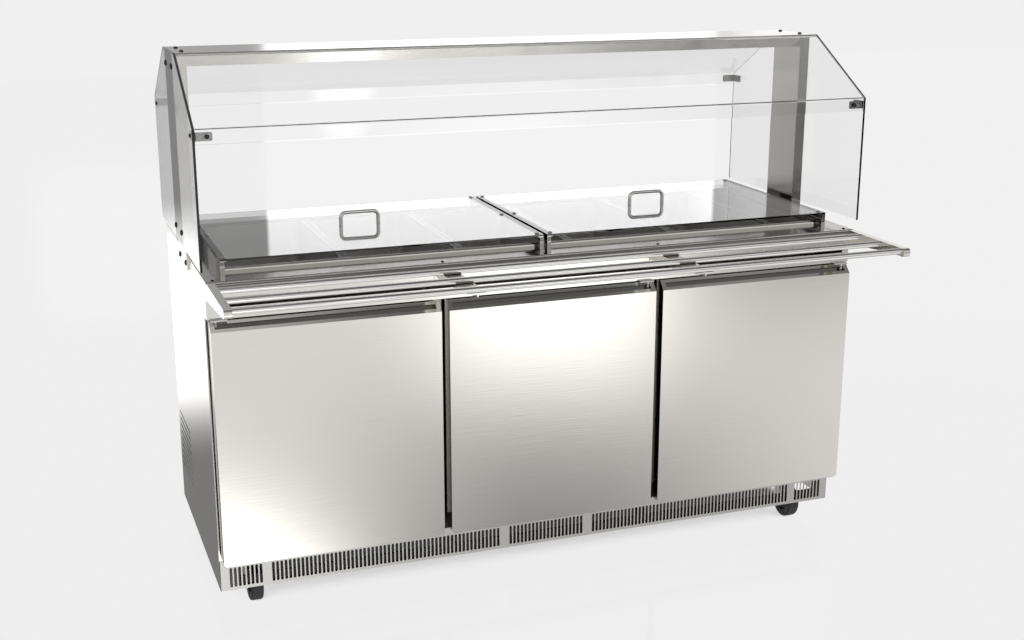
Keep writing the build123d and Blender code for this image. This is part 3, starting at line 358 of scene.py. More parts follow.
def vary_roughness(tree, shader, factor, roughness, spread):
    """Shifts a shader's roughness to both sides of its mean, by a factor socket."""
    node = tree.nodes.new("ShaderNodeMapRange")
    tree.links.new(factor, node.inputs[0])
    node.inputs[3].default_value = roughness * (1.0 - spread)
    node.inputs[4].default_value = roughness * (1.0 + spread)
    tree.links.new(node.outputs[0], shader.inputs["Roughness"])


def lift(tree, shader, height, strength, distance):
    """Fine bump from a height socket."""
    bump = preset(tree.nodes.new("ShaderNodeBump"), Strength=strength, Distance=distance)
    tree.links.new(height, bump.inputs["Height"])
    tree.links.new(bump.outputs["Normal"], shader.inputs["Normal"])


def metal(name, colour, roughness, brush="x", depth=0.25, contrast=0.05):
    """Brushed metal: grain along one axis shifts colour and roughness a little and lifts a fine bump."""
    steel = look("steel")
    material, tree, shader = new_material(name)
    stretch = [steel.grain_along if axis == brush else steel.grain_across for axis in "xyz"]
    grain, smudge = grained(tree, stretch)
    blend = math_node(tree, "ADD", times(tree, grain, GRAIN_SHARE),
                      times(tree, smudge, 1.0 - GRAIN_SHARE))
    vary_colour(tree, shader, blend, colour, (1.0 - contrast, 1.0 + contrast))
    vary_roughness(tree, shader, blend, roughness, METAL_SPREAD)
    preset(shader, Metallic=1.0)
    lift(tree, shader, grain, depth, METAL_BUMP)
    return material


def recolour(tree, mask, colour):
    """Gives the part of a finish that a 0 or 1 socket picks out another colour."""
    shader = tree.nodes["Principled BSDF"]
    below = shader.inputs["Base Color"].links[0].from_socket
    mixed = mix_colour(tree, mask, colour, colour)
    tree.links.new(below, mixed.node.inputs[6])
    tree.links.new(mixed, shader.inputs["Base Color"])


def all_of(tree, *tests):
    """Socket that is 1 where every test (operation, socket, limit) holds."""
    held = [math_node(tree, *test) for test in tests]
    mask = held[0]
    for other in held[1:]:
        mask = times(tree, mask, other)
    return mask


def facing(tree, axis, limit):
    """Socket that is 1 where a piece's surface looks along one of its own axes, either way."""
    size = math_node(tree, "ABSOLUTE", coordinates(tree, "Normal")[axis])
    return math_node(tree, "GREATER_THAN", size, limit)


def paint_stile_shade(tree, name, colour):
    """Painted shade on a side panel's front flange where it stands behind the kick plate."""
    low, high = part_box(name)
    share = (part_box("kick_grille")[1].z - low.z) / (high.z - low.z)
    behind = math_node(tree, "LESS_THAN", coordinates(tree, "Generated")["Z"], share)
    recolour(tree, times(tree, behind, facing(tree, "Y", SQUARE_ON)), colour)


def paint_louvre_shade(tree, colour):
    """Painted shade inside the side louvres: behind the sheet, in the lower rear of the panel."""
    sheet, front, top = 0.04, 0.4, 0.45
    x, y, z = coordinates(tree, "Generated")
    tests = (("GREATER_THAN", x, sheet), ("GREATER_THAN", y, front), ("LESS_THAN", z, top))
    recolour(tree, all_of(tree, *tests), colour)


def paint_rim_shade(tree, colour):
    """Painted shade on the uppermost sliver of a piece, which is a pan's rolled rim."""
    foot = 0.985
    recolour(tree, math_node(tree, "GREATER_THAN", coordinates(tree, "Generated")["Z"], foot), colour)


def paint_end_shade(tree, colour):
    """Painted shade on the outer faces at a piece's two ends, behind its front edge."""
    end, edge = 0.4995, 0.005
    x, y, _ = coordinates(tree, "Generated")
    away = math_node(tree, "ABSOLUTE", math_node(tree, "SUBTRACT", x, 0.5))
    recolour(tree, all_of(tree, ("GREATER_THAN", away, end), ("GREATER_THAN", y, edge)), colour)


def paint_groove_shade(tree, colour):
    """Painted shade inside a door's pull groove, behind the plane of the bevel and between its ends."""
    detail = look("detail")
    low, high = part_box("door_left")
    rise = detail.bevel_rise / (high.z - low.z)
    depth = detail.bevel_depth / (high.y - low.y)
    behind, foot, back, end = 0.02, 0.05, 0.93, 0.015
    x, y, z = coordinates(tree, "Generated")
    climb = math_node(tree, "SUBTRACT", z, 1.0 - rise)
    plane = times(tree, climb, depth / rise)
    tests = (
        ("GREATER_THAN", math_node(tree, "SUBTRACT", y, plane), behind),
        ("GREATER_THAN", climb, foot * rise), ("LESS_THAN", y, back),
        ("GREATER_THAN", x, end), ("LESS_THAN", x, 1.0 - end),
    )
    recolour(tree, all_of(tree, *tests), colour)


def pane(name, axis, edge):
    """Clear glass whose cut edges, found by their direction, are darker than its faces."""
    material, tree, shader = new_material(name)
    mask = place_group(tree, edge_group(), Axis=axis).outputs["Edge"]
    tree.links.new(mix_colour(tree, mask, look("glass").clear, edge), shader.inputs["Base Color"])
    preset(shader, Roughness=0.0, IOR=GLASS_IOR, Transmission_Weight=1.0)
    return material


def dark_stuff(name, colour, roughness, speck=900.0, depth=0.3):
    """Rubber, plastic or paint: fine specks in colour and bump, smudges in roughness."""
    material, tree, shader = new_material(name)
    grain, smudge = grained(tree, (speck, speck, speck))
    vary_colour(tree, shader, grain, colour, DARK_TONES)
    vary_roughness(tree, shader, smudge, roughness, DARK_SPREAD)
    lift(tree, shader, grain, depth, DARK_BUMP)
    return material


def dress(material, *names):
    """Gives construction nodes a finish."""
    for name in names:
        data = NODES[name].data
        data.materials.clear()
        data.materials.append(material)


# Surfaces


def grid_faces(rows, columns, wrap_rows=False, wrap_columns=False):
    """Quads of a grid of points, closed round one or both ways if asked."""
    i = np.arange(rows if wrap_rows else rows - 1)[:, None]
    j = np.arange(columns if wrap_columns else columns - 1)[None, :]
    i2 = (i + 1) % rows
    j2 = (j + 1) % columns
    corners = (i * columns + j, i2 * columns + j, i2 * columns + j2, i * columns + j2)
    return np.stack(np.broadcast_arrays(*corners), -1).reshape(-1, 4)


def new_piece(name, surfaces, material, body, replaced=(), angle=35.0):
    """Joins point grids into one mesh object with smooth faces and sharp creases."""
    points, quads, count = [], [], 0
    for grid, wrap_rows, wrap_columns in surfaces:
        rows, columns = grid.shape[:2]
        points.append(grid.reshape(-1, 3))
        quads.append(grid_faces(rows, columns, wrap_rows, wrap_columns) + count)
        count += rows * columns
    data = bpy.data.meshes.new(name)
    data.from_pydata(np.concatenate(points).tolist(), [], np.concatenate(quads).tolist())
    data.validate()
    data.polygons.foreach_set("use_smooth", np.ones(len(data.polygons), bool))
    data.set_sharp_from_angle(angle=math.radians(angle))
    data.materials.append(material)
    piece = bpy.data.objects.new(name, data)
    bpy.context.scene.collection.objects.link(piece)
    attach(piece, body)
    if replaced:
        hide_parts(*replaced)
    return piece


def turned(profile, centre, axis, steps=48):
    """Lathe: each profile point (along, radius) runs round the axis through the centre."""
    along, radius = np.asarray(profile, float).T
    turn = np.linspace(0.0, 2.0 * math.pi, steps, endpoint=False)
    u, v = {"x": ((0, 1, 0), (0, 0, 1)), "y": ((0, 0, 1), (1, 0, 0)), "z": ((1, 0, 0), (0, 1, 0))}[axis]
    w = np.cross(u, v)
    ring = np.cos(turn)[:, None] * np.array(u) + np.sin(turn)[:, None] * np.array(v)
    grid = np.array(centre) + along[:, None, None] * w + radius[:, None, None] * ring[None]
    return grid, False, True


def head_profile(radius, rise, side=1):
    """Lathe outline of a domed head: a rim, a crown along an ellipse and a round socket sunk in it."""
    first, last, sink, socket = 0.25, 1.15, 0.45, 0.85
    turn = np.linspace(first, last, 6)
    crown = [(rise * math.sin(a) / math.sin(last), radius * math.cos(a) / math.cos(first)) for a in turn]
    bottom = rise * sink
    outline = [(0.0, 0.0), (0.0, radius)] + crown + [(bottom, crown[-1][1] * socket), (bottom, 0.0)]
    return outline if side > 0 else [(-along, reach) for along, reach in outline[::-1]]


def carried(path, radius, steps=24):
    """Tube: a circle carried along a path in an X-Z plane, square to the path at each point."""
    ahead = np.gradient(path, axis=0)
    ahead /= np.linalg.norm(ahead, axis=1)[:, None]
    across = np.array([0.0, 1.0, 0.0])
    up = np.cross(ahead, across)
    turn = np.linspace(0.0, 2.0 * math.pi, steps, endpoint=False)
    ring = np.cos(turn)[None, :, None] * up[:, None] + np.sin(turn)[None, :, None] * across
    return path[:, None] + radius * ring, False, True


def tyre_outline(face, inner, radius):
    """Lathe outline of a tyre: flat sides, quarter-circle shoulders and a foot a little narrower."""
    inset, soft, foot = 0.002, 0.006, 0.002
    half = face - inset
    turn = np.linspace(0.0, math.pi / 2, 7)
    crown = [(half - soft + soft * math.cos(a), radius - soft + soft * math.sin(a)) for a in turn]
    outline = [(half - foot, inner)] + crown + [(-along, reach) for along, reach in crown[::-1]]
    outline += [(-half + foot, inner), (half - foot, inner)]
    return outline[::-1]


def hub_outline(face, inner):
    """Lathe outline of a hub: a lip under the tyre, a thinner web, and a bored boss out to the faces."""
    lip_depth, web_depth, boss_depth = 0.005, 0.011, 0.004
    lip_drop, web_drop = 0.004, 0.006
    boss_foot, boss_neck, boss_end, bore = 0.019, 0.016, 0.0145, 0.0061
    lip, web, boss = face - lip_depth, face - web_depth, face - boss_depth
    rim = [(lip, inner), (lip, inner - lip_drop), (web, inner - web_drop), (web, boss_foot),
           (boss, boss_neck), (face, boss_end), (face, bore)]
    return rim + [(-along, reach) for along, reach in rim[::-1]] + rim[:1]


def bow_path(half, rise, bend, steps=10):
    """Centre line of a bow handle: up a leg, round a quarter circle, across, round and down."""
    turn = np.linspace(0.0, math.pi / 2, steps)
    corner = np.stack([bend * (1.0 - np.cos(turn)), np.zeros(steps), bend * (np.sin(turn) - 1.0)], -1)
    left = corner + np.array([-half, 0.0, rise])
    right = left[::-1] * np.array([-1.0, 1.0, 1.0])
    legs = np.array([[-half, 0.0, 0.0], [half, 0.0, 0.0]])
    return np.concatenate([legs[:1], left, right, legs[1:]])


def block_grid(low, high):
    """Box as four rings up Z, the first and last drawn in to a point."""
    (x0, y0, z0), (x1, y1, z1) = low, high
    ring = np.array([[x0, y0], [x1, y0], [x1, y1], [x0, y1]])
    middle = np.broadcast_to(ring.mean(0), ring.shape)
    rows = [(middle, z0), (ring, z0), (ring, z1), (middle, z1)]
    grid = np.stack([np.column_stack([flat, np.full(4, z)]) for flat, z in rows])
    return grid[::-1], False, True


def leaf_grid(length, height, gauge, corner):
    """Leg of a clip from X = 0: a rectangle round at its free end, drawn out from Y = 0 by its gauge."""
    turn = np.linspace(0.0, math.pi / 2, 6)
    reach = length - corner
    level = height / 2 - corner
    lower = np.stack([reach + corner * np.sin(turn), -level - corner * np.cos(turn)], -1)
    upper = np.stack([reach + corner * np.cos(turn), level + corner * np.sin(turn)], -1)
    ends = np.array([[0.0, -height / 2], [0.0, height / 2]])
    ring = np.concatenate([ends[:1], lower, upper, ends[1:]])
    middle = np.broadcast_to(ring.mean(0), ring.shape)
    rows = [(middle, 0.0), (ring, 0.0), (ring, gauge), (middle, gauge)]
    return np.stack([np.stack([line[:, 0], np.full(len(line), y), line[:, 1]], -1) for line, y in rows])


def slot_tile(low, high):
    """One pitch of the grille round X = 0: between a rectangle and a round-ended slot, front and back."""
    detail = look("detail")
    half = detail.slot_pitch / 2
    reach = detail.slot_width / 2
    straight = detail.slot_height / 2 - reach
    middle = low.z + detail.slot_foot + detail.slot_height / 2
    across = half * np.array([1.0, 1.0, 1.0, 0.5, 0.0, -0.5, -1.0, -1.0, -1.0])
    share = np.array([0.0, 0.5, 1.0, 1.0, 1.0, 1.0, 1.0, 0.5, 0.0])
    turn = np.linspace(0.0, math.pi, len(across))
    arc = np.stack([reach * np.cos(turn), reach * np.sin(turn)], -1)
    slot = np.concatenate([arc + [0.0, middle + straight], -arc + [0.0, middle - straight]])
    upper = np.stack([across, middle + straight + share * (high.z - middle - straight)], -1)
    lower = np.stack([-across, middle - straight + share * (low.z - middle + straight)], -1)
    frame_line = np.concatenate([upper, lower])
    rows = [(frame_line, low.y), (slot, low.y), (slot, high.y), (frame_line, high.y)]
    grid = np.stack([np.stack([line[:, 0], np.full(len(line), y), line[:, 1]], -1) for line, y in rows])
    return grid[:, ::-1]


def grille_places(low, high):
    """X of every slot, and the X ranges of the plain bars between the fields."""
    detail = look("detail")
    slack = 1e-6  # keeps a field of whole pitches whole
    end = detail.field_edge + detail.end_run
    half = detail.middle_run / 2
    centre = (low + high) / 2
    left, right = centre - half, centre + half
    fields = [
        (low + detail.field_edge, low + end), (low + end + detail.end_bar, left - detail.middle_bar),
        (left, right), (right + detail.middle_bar, high - end - detail.end_bar),
        (high - end, high - detail.field_edge),
    ]
    centres, bars, edge = [], [], low
    for start, stop in fields:
        count = int((stop - start) / detail.slot_pitch + slack)
        first = (start + stop) / 2 - (count - 1) * detail.slot_pitch / 2
        centres += [first + n * detail.slot_pitch for n in range(count)]
        bars.append((edge, first - detail.slot_pitch / 2))
        edge = first + (count - 0.5) * detail.slot_pitch
    return centres, bars + [(edge, high)]


# Operators


class SaladBarSteel(bpy.types.Operator):
    """Satin finishes on the sheet, the doors, the pans and the base, with shade painted into recesses,
    side faces and rims
    """

    bl_idname = "salad_bar.steel"
    bl_label = "Steel finishes"

    def execute(self, context):
        steel = look("steel")
        flat = metal("satin_sheet", steel.sheet, steel.sheet_rough)
        upright = metal("satin_upright", steel.sheet, steel.sheet_rough, brush="z")
        deep = metal("satin_side", steel.sheet, steel.door_rough, brush="y")
        doors = metal("door_skin", steel.door, steel.door_rough)
        # Painted shade in the pull grooves
        paint_groove_shade(doors.node_tree, steel.groove)
        # Painted shade on the doors' side faces
        recolour(doors.node_tree, facing(doors.node_tree, "X", SQUARE_ON), steel.door_side_shade)
        # Worktop sheet with painted shade on its upper face
        top = metal("satin_top_painted_shade", steel.sheet, steel.sheet_rough)
        recolour(top.node_tree, facing(top.node_tree, "Z", LEVEL), steel.deck)
        dress(top, "worktop")
        for side in SIDES:
            name = f"{side}_side_panel"
            panel = metal(f"satin_side_{side}", steel.sheet, steel.door_rough, brush="y")
            # Painted shade on the stile behind the kick plate
            paint_stile_shade(panel.node_tree, name, steel.base)
            # Painted shade inside the louvres of the left panel
            if side == "left":
                paint_louvre_shade(panel.node_tree, steel.base)
            dress(panel, name)
        pans = metal("drawn_pan", steel.pan, ROUGH["pan"], brush="y")
        # Painted shade on the upper rims of pans, well and lining
        paint_rim_shade(pans.node_tree, steel.rim)
        dress(flat, "fascia", "guard_beam", "guard_cap", "rear_panel", "kick_grille", "tray_mid_brackets")
        lids = metal("lid_wall", steel.lid, ROUGH["lid"], brush="y")
        # Painted shade on the lid walls' outer end faces
        paint_end_shade(lids.node_tree, steel.lid_end)
        dress(lids, "lid_left_walls", "lid_right_walls")
        dress(upright, "guard_post_left", "guard_post_right", "mullions")
        dress(deep, "tray_bracket_left", "tray_bracket_right")
        dress(doors, *[f"door_{name}" for name in DOORS])
        dress(pans, "well_liner", "inner_liner", "pan_frame", *[f"pan_{n}" for n in range(1, 7)])
        # Base frame painted near black as the shade seen through the grille slots
        dress(metal("base_painted_shade", steel.base, ROUGH["base"]), "base_frame")
        bright = metal("bright_wire", steel.bright, steel.bright_rough)
        dress(bright, "tray_tubes", "wire_shelves", "lid_left_handle", "lid_right_handle",
              "lid_left_screws", "lid_right_screws")
        zinc = metal("zinc_plate", steel.zinc, ROUGH["zinc"])
        dress(zinc, "caster_plates", "hinge_brackets", *[f"caster_{corner}_fork" for corner in CORNERS])
        dress(metal("coil_fins", steel.coil, ROUGH["coil"], brush="z"), "condenser", "evaporator")
        return {"FINISHED"}


class SaladBarGlass(bpy.types.Operator):
    """Clear panes with darker cut edges"""

    bl_idname = "salad_bar.glass"
    bl_label = "Glass"

    def execute(self, context):
        glass = look("glass")
        dress(pane("end_pane", (1.0, 0.0, 0.0), glass.edge), "end_glass_left", "end_glass_right")
        dress(pane("bent_pane", (0.0, -0.8, 0.6), glass.lip), "front_glass")
        dress(pane("bent_pane_back", (0.0, 0.8, 0.6), glass.lip), "back_glass")
        dress(pane("lid_pane", (0.0, 0.0, 1.0), glass.lip), "lid_left_glass", "lid_right_glass")
        return {"FINISHED"}


class SaladBarDark(bpy.types.Operator):
    """Rubber, plastic and painted finishes"""

    bl_idname = "salad_bar.dark"
    bl_label = "Dark pieces"

    def execute(self, context):
        dark = look("dark")
        rubber = dark_stuff("black_rubber", dark.rubber, ROUGH["rubber"])
        dress(rubber, *[f"caster_{corner}_wheel" for corner in CORNERS])
        dress(rubber, *[f"door_{name}_gasket" for name in DOORS])
        dress(dark_stuff("blackened_bolt", dark.bolt, ROUGH["bolt"]), "bolts")
        dress(metal("clip_node", dark.clip, ROUGH["clip"]), "corner_clips")
        dress(dark_stuff("moulded_fan", dark.fan, ROUGH["fan"]), "condenser_fan")
        dress(dark_stuff("painted_can", dark.fan, ROUGH["can"]), "compressor")
        return {"FINISHED"}


class SaladBarTray(bpy.types.Operator):
    """Smooth tubes of the tray slide"""

    bl_idname = "salad_bar.tray"
    bl_label = "Tray tubes"

    def execute(self, context):
        low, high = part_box("tray_tubes")
        radius = (high.z - low.z) / 2
        bore = radius - look("detail").tube_wall
        level = (low.z + high.z) / 2
        profile = [(low.x, bore), (low.x, radius), (high.x, radius), (high.x, bore), (low.x, bore)]
        tubes = []
        for share in (0.0, 0.5, 1.0):
            y = low.y + radius + share * (high.y - low.y - 2 * radius)
            tubes.append(turned(profile, (0.0, y, level), "x"))
        steel = look("steel")
        bright = metal("tray_tube", steel.bright, steel.tube_rough, depth=0.04, contrast=0.03)
        new_piece("tray_tubes_round", tubes, bright, ROOT, ["tray_tubes"])
        return {"FINISHED"}


class SaladBarBows(bpy.types.Operator):
    """Round bent rod handles on the lids"""

    bl_idname = "salad_bar.bows"
    bl_label = "Lid handles"

    def execute(self, context):
        detail = look("detail")
        steel = look("steel")
        rod = metal("handle_rod", steel.bright, steel.tube_rough, depth=0.04)
        for side in SIDES:
            node = f"lid_{side}_handle"
            low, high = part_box(node)
            under, foot = (corner.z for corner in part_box(f"lid_{side}_glass"))
            centre = ((low.x + high.x) / 2, (low.y + high.y) / 2, foot)
            half = (high.x - low.x - detail.bow_rod) / 2
            path = bow_path(half, detail.bow_rise - detail.bow_rod / 2, detail.bow_bend)
            pieces = [carried(path + centre, detail.bow_rod / 2)]
            nut = head_profile(detail.bow_nut, under - low.z, -1)
            for x in (centre[0] - half, centre[0] + half):
                pieces.append(turned(nut, (x, centre[1], under), "z"))
            new_piece(f"lid_{side}_bow", pieces, rod, f"lid_{side}_lift", [node])
        return {"FINISHED"}


class SaladBarGrille(bpy.types.Operator):
    """Kick plate with round-ended slots"""

    bl_idname = "salad_bar.grille"
    bl_label = "Kick grille"

    def execute(self, context):
        low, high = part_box("kick_grille")
        centres, bars = grille_places(low.x, high.x)
        tiles = [slot_tile(low, high) + np.array([x, 0.0, 0.0]) for x in centres]
        surfaces = [(tile, True, True) for tile in tiles]
        surfaces += [block_grid((x0, low.y, low.z), (x1, high.y, high.z)) for x0, x1 in bars]
        plate = metal("grille_plate", look("steel").grille, ROUGH["grille"])
        new_piece("kick_grille_slotted", surfaces, plate, ROOT, ["kick_grille"])
        return {"FINISHED"}


class SaladBarWheels(bpy.types.Operator):
    """Tyres and hubs of the casters"""

    bl_idname = "salad_bar.wheels"
    bl_label = "Wheels"

    def execute(self, context):
        dark = look("dark")
        depth = look("detail").tyre
        rubber = dark_stuff("tyre_rubber", dark.rubber, ROUGH["tyre"])
        moulded = dark_stuff("wheel_hub", dark.hub, ROUGH["hub"])
        for corner in CORNERS:
            node = f"caster_{corner}_wheel"
            low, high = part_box(node)
            centre = (low + high) / 2
            radius = (high.z - low.z) / 2
            face = (high.x - low.x) / 2
            inner = radius - depth
            body = f"caster_{corner}_roll"
            tyre = turned(tyre_outline(face, inner, radius), centre, "x", WHEEL_STEPS)
            new_piece(f"caster_{corner}_tyre", [tyre], rubber, body, [node])
            hub = turned(hub_outline(face, inner), centre, "x", WHEEL_STEPS)
            new_piece(f"caster_{corner}_hub", [hub], moulded, body)
        return {"FINISHED"}


class SaladBarClips(bpy.types.Operator):
    """Angle clips in the corners of the guard, a hair off the panes"""

    bl_idname = "salad_bar.clips"
    bl_label = "Corner clips"

    def execute(self, context):
        detail = look("detail")
        low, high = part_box("corner_clips")
        centre = (low + high) / 2
        leaf = leaf_grid(detail.clip_leg, high.z - low.z, detail.clip_gauge, detail.clip_corner)
        reach = (high - low) / 2
        corner = np.array([reach.x - detail.clip_shim, reach.y - detail.clip_shim, 0.0])
        surfaces = []
        for side in (-1.0, 1.0):
            for end in (-1.0, 1.0):
                flip = np.array([side, end, 1.0])
                along = leaf * np.array([-1.0, -1.0, 1.0]) + corner
                across = leaf[..., [1, 0, 2]] * np.array([-1.0, -1.0, 1.0]) + corner
                for grid, turned_over in ((along, side * end > 0), (across, side * end < 0)):
                    placed = grid * flip + np.array(centre)
                    surfaces.append((placed[::-1] if turned_over else placed, False, True))
        plate = metal("clip_plate", look("dark").clip, ROUGH["clip"])
        new_piece("corner_clips_shimmed", surfaces, plate, ROOT, ["corner_clips"])
        return {"FINISHED"}


class SaladBarFasteners(bpy.types.Operator):
    """Domed heads with sockets for the bolts and screws"""

    bl_idname = "salad_bar.fasteners"
    bl_label = "Fasteners"

    def execute(self, context):
        detail = look("detail")
        black = dark_stuff("blackened_head", look("dark").bolt, ROUGH["head"])
        new_piece("bolt_heads", bolt_heads(detail), black, ROOT, ["bolts"])
        zinc = metal("lid_screw", look("steel").screw, ROUGH["screw"])
        profile = head_profile(detail.screw_head, detail.bolt_rise)
        for side in SIDES:
            low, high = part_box(f"lid_{side}_glass")
            heads = []
            for x in (low.x + detail.lid_inset, high.x - detail.lid_inset):
                for y in (low.y + detail.lid_end, (low.y + high.y) / 2, high.y - detail.lid_end):
                    heads.append(turned(profile, (x, y, high.z), "z", SCREW_STEPS))
            node = f"lid_{side}_screws"
            new_piece(f"lid_{side}_screw_heads", heads, zinc, f"lid_{side}_lift", [node])
        return {"FINISHED"}


def bolt_heads(detail):
    """Heads of the guard's bolts and of cap, clip and worktop screws, placed by the pieces they hold."""
    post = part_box("guard_post_right")
    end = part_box("end_glass_right")
    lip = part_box("front_glass")
    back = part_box("back_glass")
    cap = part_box("guard_cap")
    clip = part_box("corner_clips")
    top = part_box("worktop")
    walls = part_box("lid_left_walls")
    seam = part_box("tray_mid_brackets")[1].x - detail.top_bracket
    middle = (post[0].y + post[1].y) / 2
    deck = walls[0].z - detail.lid_gap
    level = (clip[0].z + clip[1].z) / 2
    cap_screw = head_profile(detail.screw_head, detail.bolt_rise)
    top_screw = head_profile(detail.top_head, detail.top_rise)
    clip_screw = {side: head_profile(detail.clip_head, detail.clip_rise, side) for side in (-1, 1)}
    heads = []
    for side in (-1, 1):
        bolt = head_profile(detail.bolt_head, detail.bolt_rise, side)
        face = side * end[1].x
        for y in (middle - detail.bolt_spacing / 2, middle + detail.bolt_spacing / 2):
            for z in (post[1].z - detail.bolt_drop, end[0].z + detail.bolt_drop):
                heads.append(turned(bolt, (face, y, z), "x", BOLT_STEPS))
            heads.append(turned(bolt, (side * post[1].x, y, deck - detail.foot_drop), "x", BOLT_STEPS))
            place = (side * (post[1].x - detail.cap_inset), y, cap[1].z)
            heads.append(turned(cap_screw, place, "z", SCREW_STEPS))
        x = side * (post[1].x - detail.clip_hole)
        heads.append(turned(clip_screw[-1], (x, lip[0].y, level), "y", SCREW_STEPS))
        heads.append(turned(clip_screw[1], (x, back[1].y, level), "y", SCREW_STEPS))
        for y in (clip[0].y + detail.clip_hole, clip[1].y - detail.clip_hole):
            heads.append(turned(clip_screw[side], (face, y, level), "x", SCREW_STEPS))
        for x in (top[1].x - detail.top_inset, seam):
            place = (side * x, top[0].y + detail.top_setback, deck)
            heads.append(turned(top_screw, place, "z", SCREW_STEPS))
    return heads


class SaladBarStage(bpy.types.Operator):
    """Camera, pale floor and soft studio surroundings"""

    bl_idname = "salad_bar.stage"
    bl_label = "Stage"

    def execute(self, context):
        stage = look("stage")
        data = bpy.data.cameras.new("camera")
        data.sensor_width = SENSOR
        data.lens = stage.lens
        camera = bpy.data.objects.new("camera", data)
        camera.location = stage.eye
        camera.rotation_euler = (math.pi / 2 - stage.pitch, 0.0, -stage.yaw)
        context.scene.collection.objects.link(camera)
        context.scene.camera = camera
        context.scene.view_settings.view_transform = "Standard"
        surroundings(context.scene, stage)
        add_floor(stage)
        return {"FINISHED"}


def soft_box(tree, azimuth, elevation, place, half, soft, power):
    """A patch of the surroundings, 1 inside and 0 outside: a superellipse in azimuth and elevation."""
    terms = []
    for angle, middle, reach in zip((azimuth, elevation), place, half):
        away = math_node(tree, "SUBTRACT", angle, math.radians(middle))
        share = math_node(tree, "ABSOLUTE", math_node(tree, "DIVIDE", away, math.radians(reach)))
        terms.append(math_node(tree, "POWER", share, power))
    reach = math_node(tree, "POWER", math_node(tree, "ADD", *terms), 1.0 / power)
    return smooth_step(tree, reach, (1.0 - soft, 1.0 + soft), (1.0, 0.0))


def smooth_step(tree, value, start, end):
    """A socket eased from one range to another."""
    node = tree.nodes.new("ShaderNodeMapRange")
    node.interpolation_type = "SMOOTHSTEP"
    tree.links.new(value, node.inputs[0])
    for socket, number in zip(node.inputs[1:5], (*start, *end)):
        socket.default_value = number
    return node.outputs[0]


# Soft boxes and dark screens of the studio: azimuth and elevation in degrees, azimuth 0 along -Y, half
# sizes, softness, squareness, brightness added
SOFT_BOXES = (
    ((21.7, -12.7), (4, 4.5), 0.85, 4, 1.53),
    ((4, -29), (9, 6.1), 0.41, 2, 2.2),
    ((22.4, -26.9), (8.1, 7.5), 0.99, 2, -0.72),
    ((30.8, -6.6), (6.3, 9), 0.24, 2, -0.21),
    ((34, -6.2), (11.5, 5.8), 0.15, 4, -0.68),
    ((13.4, -5), (1.2, 3), 0.4, 2, 3),
    ((160.7, 14), (9.1, 12), 0.012, 8, 1.2),
    ((176, 12), (2.8, 3), 0.2, 4, 1.1),
    ((143.5, 8), (8, 8), 0.2, 4, 0.6),
    ((144, 4), (8.5, 2.5), 0.3, 4, 0.12),
    ((31.5, -9), (3.5, 3.5), 0.3, 4, -0.12),
    ((8, -4), (6, 4), 0.25, 4, -0.28),
    ((-62, -18), (26, 32), 0.3, 4, -0.5),
    ((74, -18), (20, 32), 0.3, 4, -0.4),
    ((-172, 12), (6, 8), 0.3, 4, -0.35),
    ((-154.4, -8), (1.9, 9), 0.3, 4, 1.6),
    ((-173, -15), (10, 3.5), 0.35, 8, 1.2),
    ((-173, -23.5), (10, 3.6), 0.2, 8, -0.2),
    ((18, 69), (14, 6), 0.6, 2, 0.5),
    ((58, 56), (5, 6), 0.5, 2, 0.2),
)
# Brightness of the studio, and the elevations in degrees (REAR_TURN: shares of Y) over which it changes
UPPER_WALL, REAR_WALL, CEILING, OVERHEAD, LEAST = 0.8, 0.42, 0.17, 0.7, 0.03
WALL_TURN, CEILING_TURN, OVERHEAD_TURN, REAR_TURN = (2.0, 10.0), (25.0, 48.0), (36.0, 52.0), (0.1, 0.35)


def surroundings(scene, stage):
    """Studio world: plain where the camera or a pane looks at it, with soft boxes in reflections."""
    world = bpy.data.worlds.new("studio")
    world.use_nodes = True
    scene.world = world
    tree = world.node_tree
    x, y, z = coordinates(tree, "Generated")
    forward = times(tree, y, -1.0)
    elevation = math_node(tree, "ARCSINE", z)
    azimuth = math_node(tree, "ARCTAN2", x, forward)
    front = math_node(tree, "GREATER_THAN", forward, 0.0)
    upper = smooth_step(tree, elevation, np.radians(WALL_TURN), (1.0, UPPER_WALL))
    more = times(tree, front, math_node(tree, "SUBTRACT", upper, REAR_WALL))
    walls = math_node(tree, "ADD", more, REAR_WALL)
    ceiling = smooth_step(tree, elevation, np.radians(CEILING_TURN), (1.0, CEILING))
    light = times(tree, walls, ceiling)
    behind = smooth_step(tree, y, REAR_TURN, (0.0, OVERHEAD))
    overhead = smooth_step(tree, elevation, np.radians(OVERHEAD_TURN), (0.0, 1.0))
    light = math_node(tree, "ADD", light, times(tree, behind, overhead))
    for place, half, soft, power, strength in SOFT_BOXES:
        patch = soft_box(tree, azimuth, elevation, place, half, soft, power)
        light = math_node(tree, "ADD", light, times(tree, patch, strength))
    light = math_node(tree, "MAXIMUM", light, LEAST)
    path = tree.nodes.new("ShaderNodeLightPath")
    straight = math_node(tree, "LESS_THAN", path.outputs["Glossy Depth"], SOME)
    through = times(tree, path.outputs["Is Transmission Ray"], straight)
    seen = math_node(tree, "MAXIMUM", path.outputs["Is Camera Ray"], through)
    mixed = tree.nodes.new("ShaderNodeMix")
    tree.links.new(seen, mixed.inputs[0])
    tree.links.new(light, mixed.inputs[2])
    mixed.inputs[3].default_value = stage.backdrop
    tree.links.new(mixed.outputs[0], tree.nodes["Background"].inputs["Strength"])
    tree.nodes["Background"].inputs["Color"].default_value = (1.0, 1.0, 1.0, 1.0)


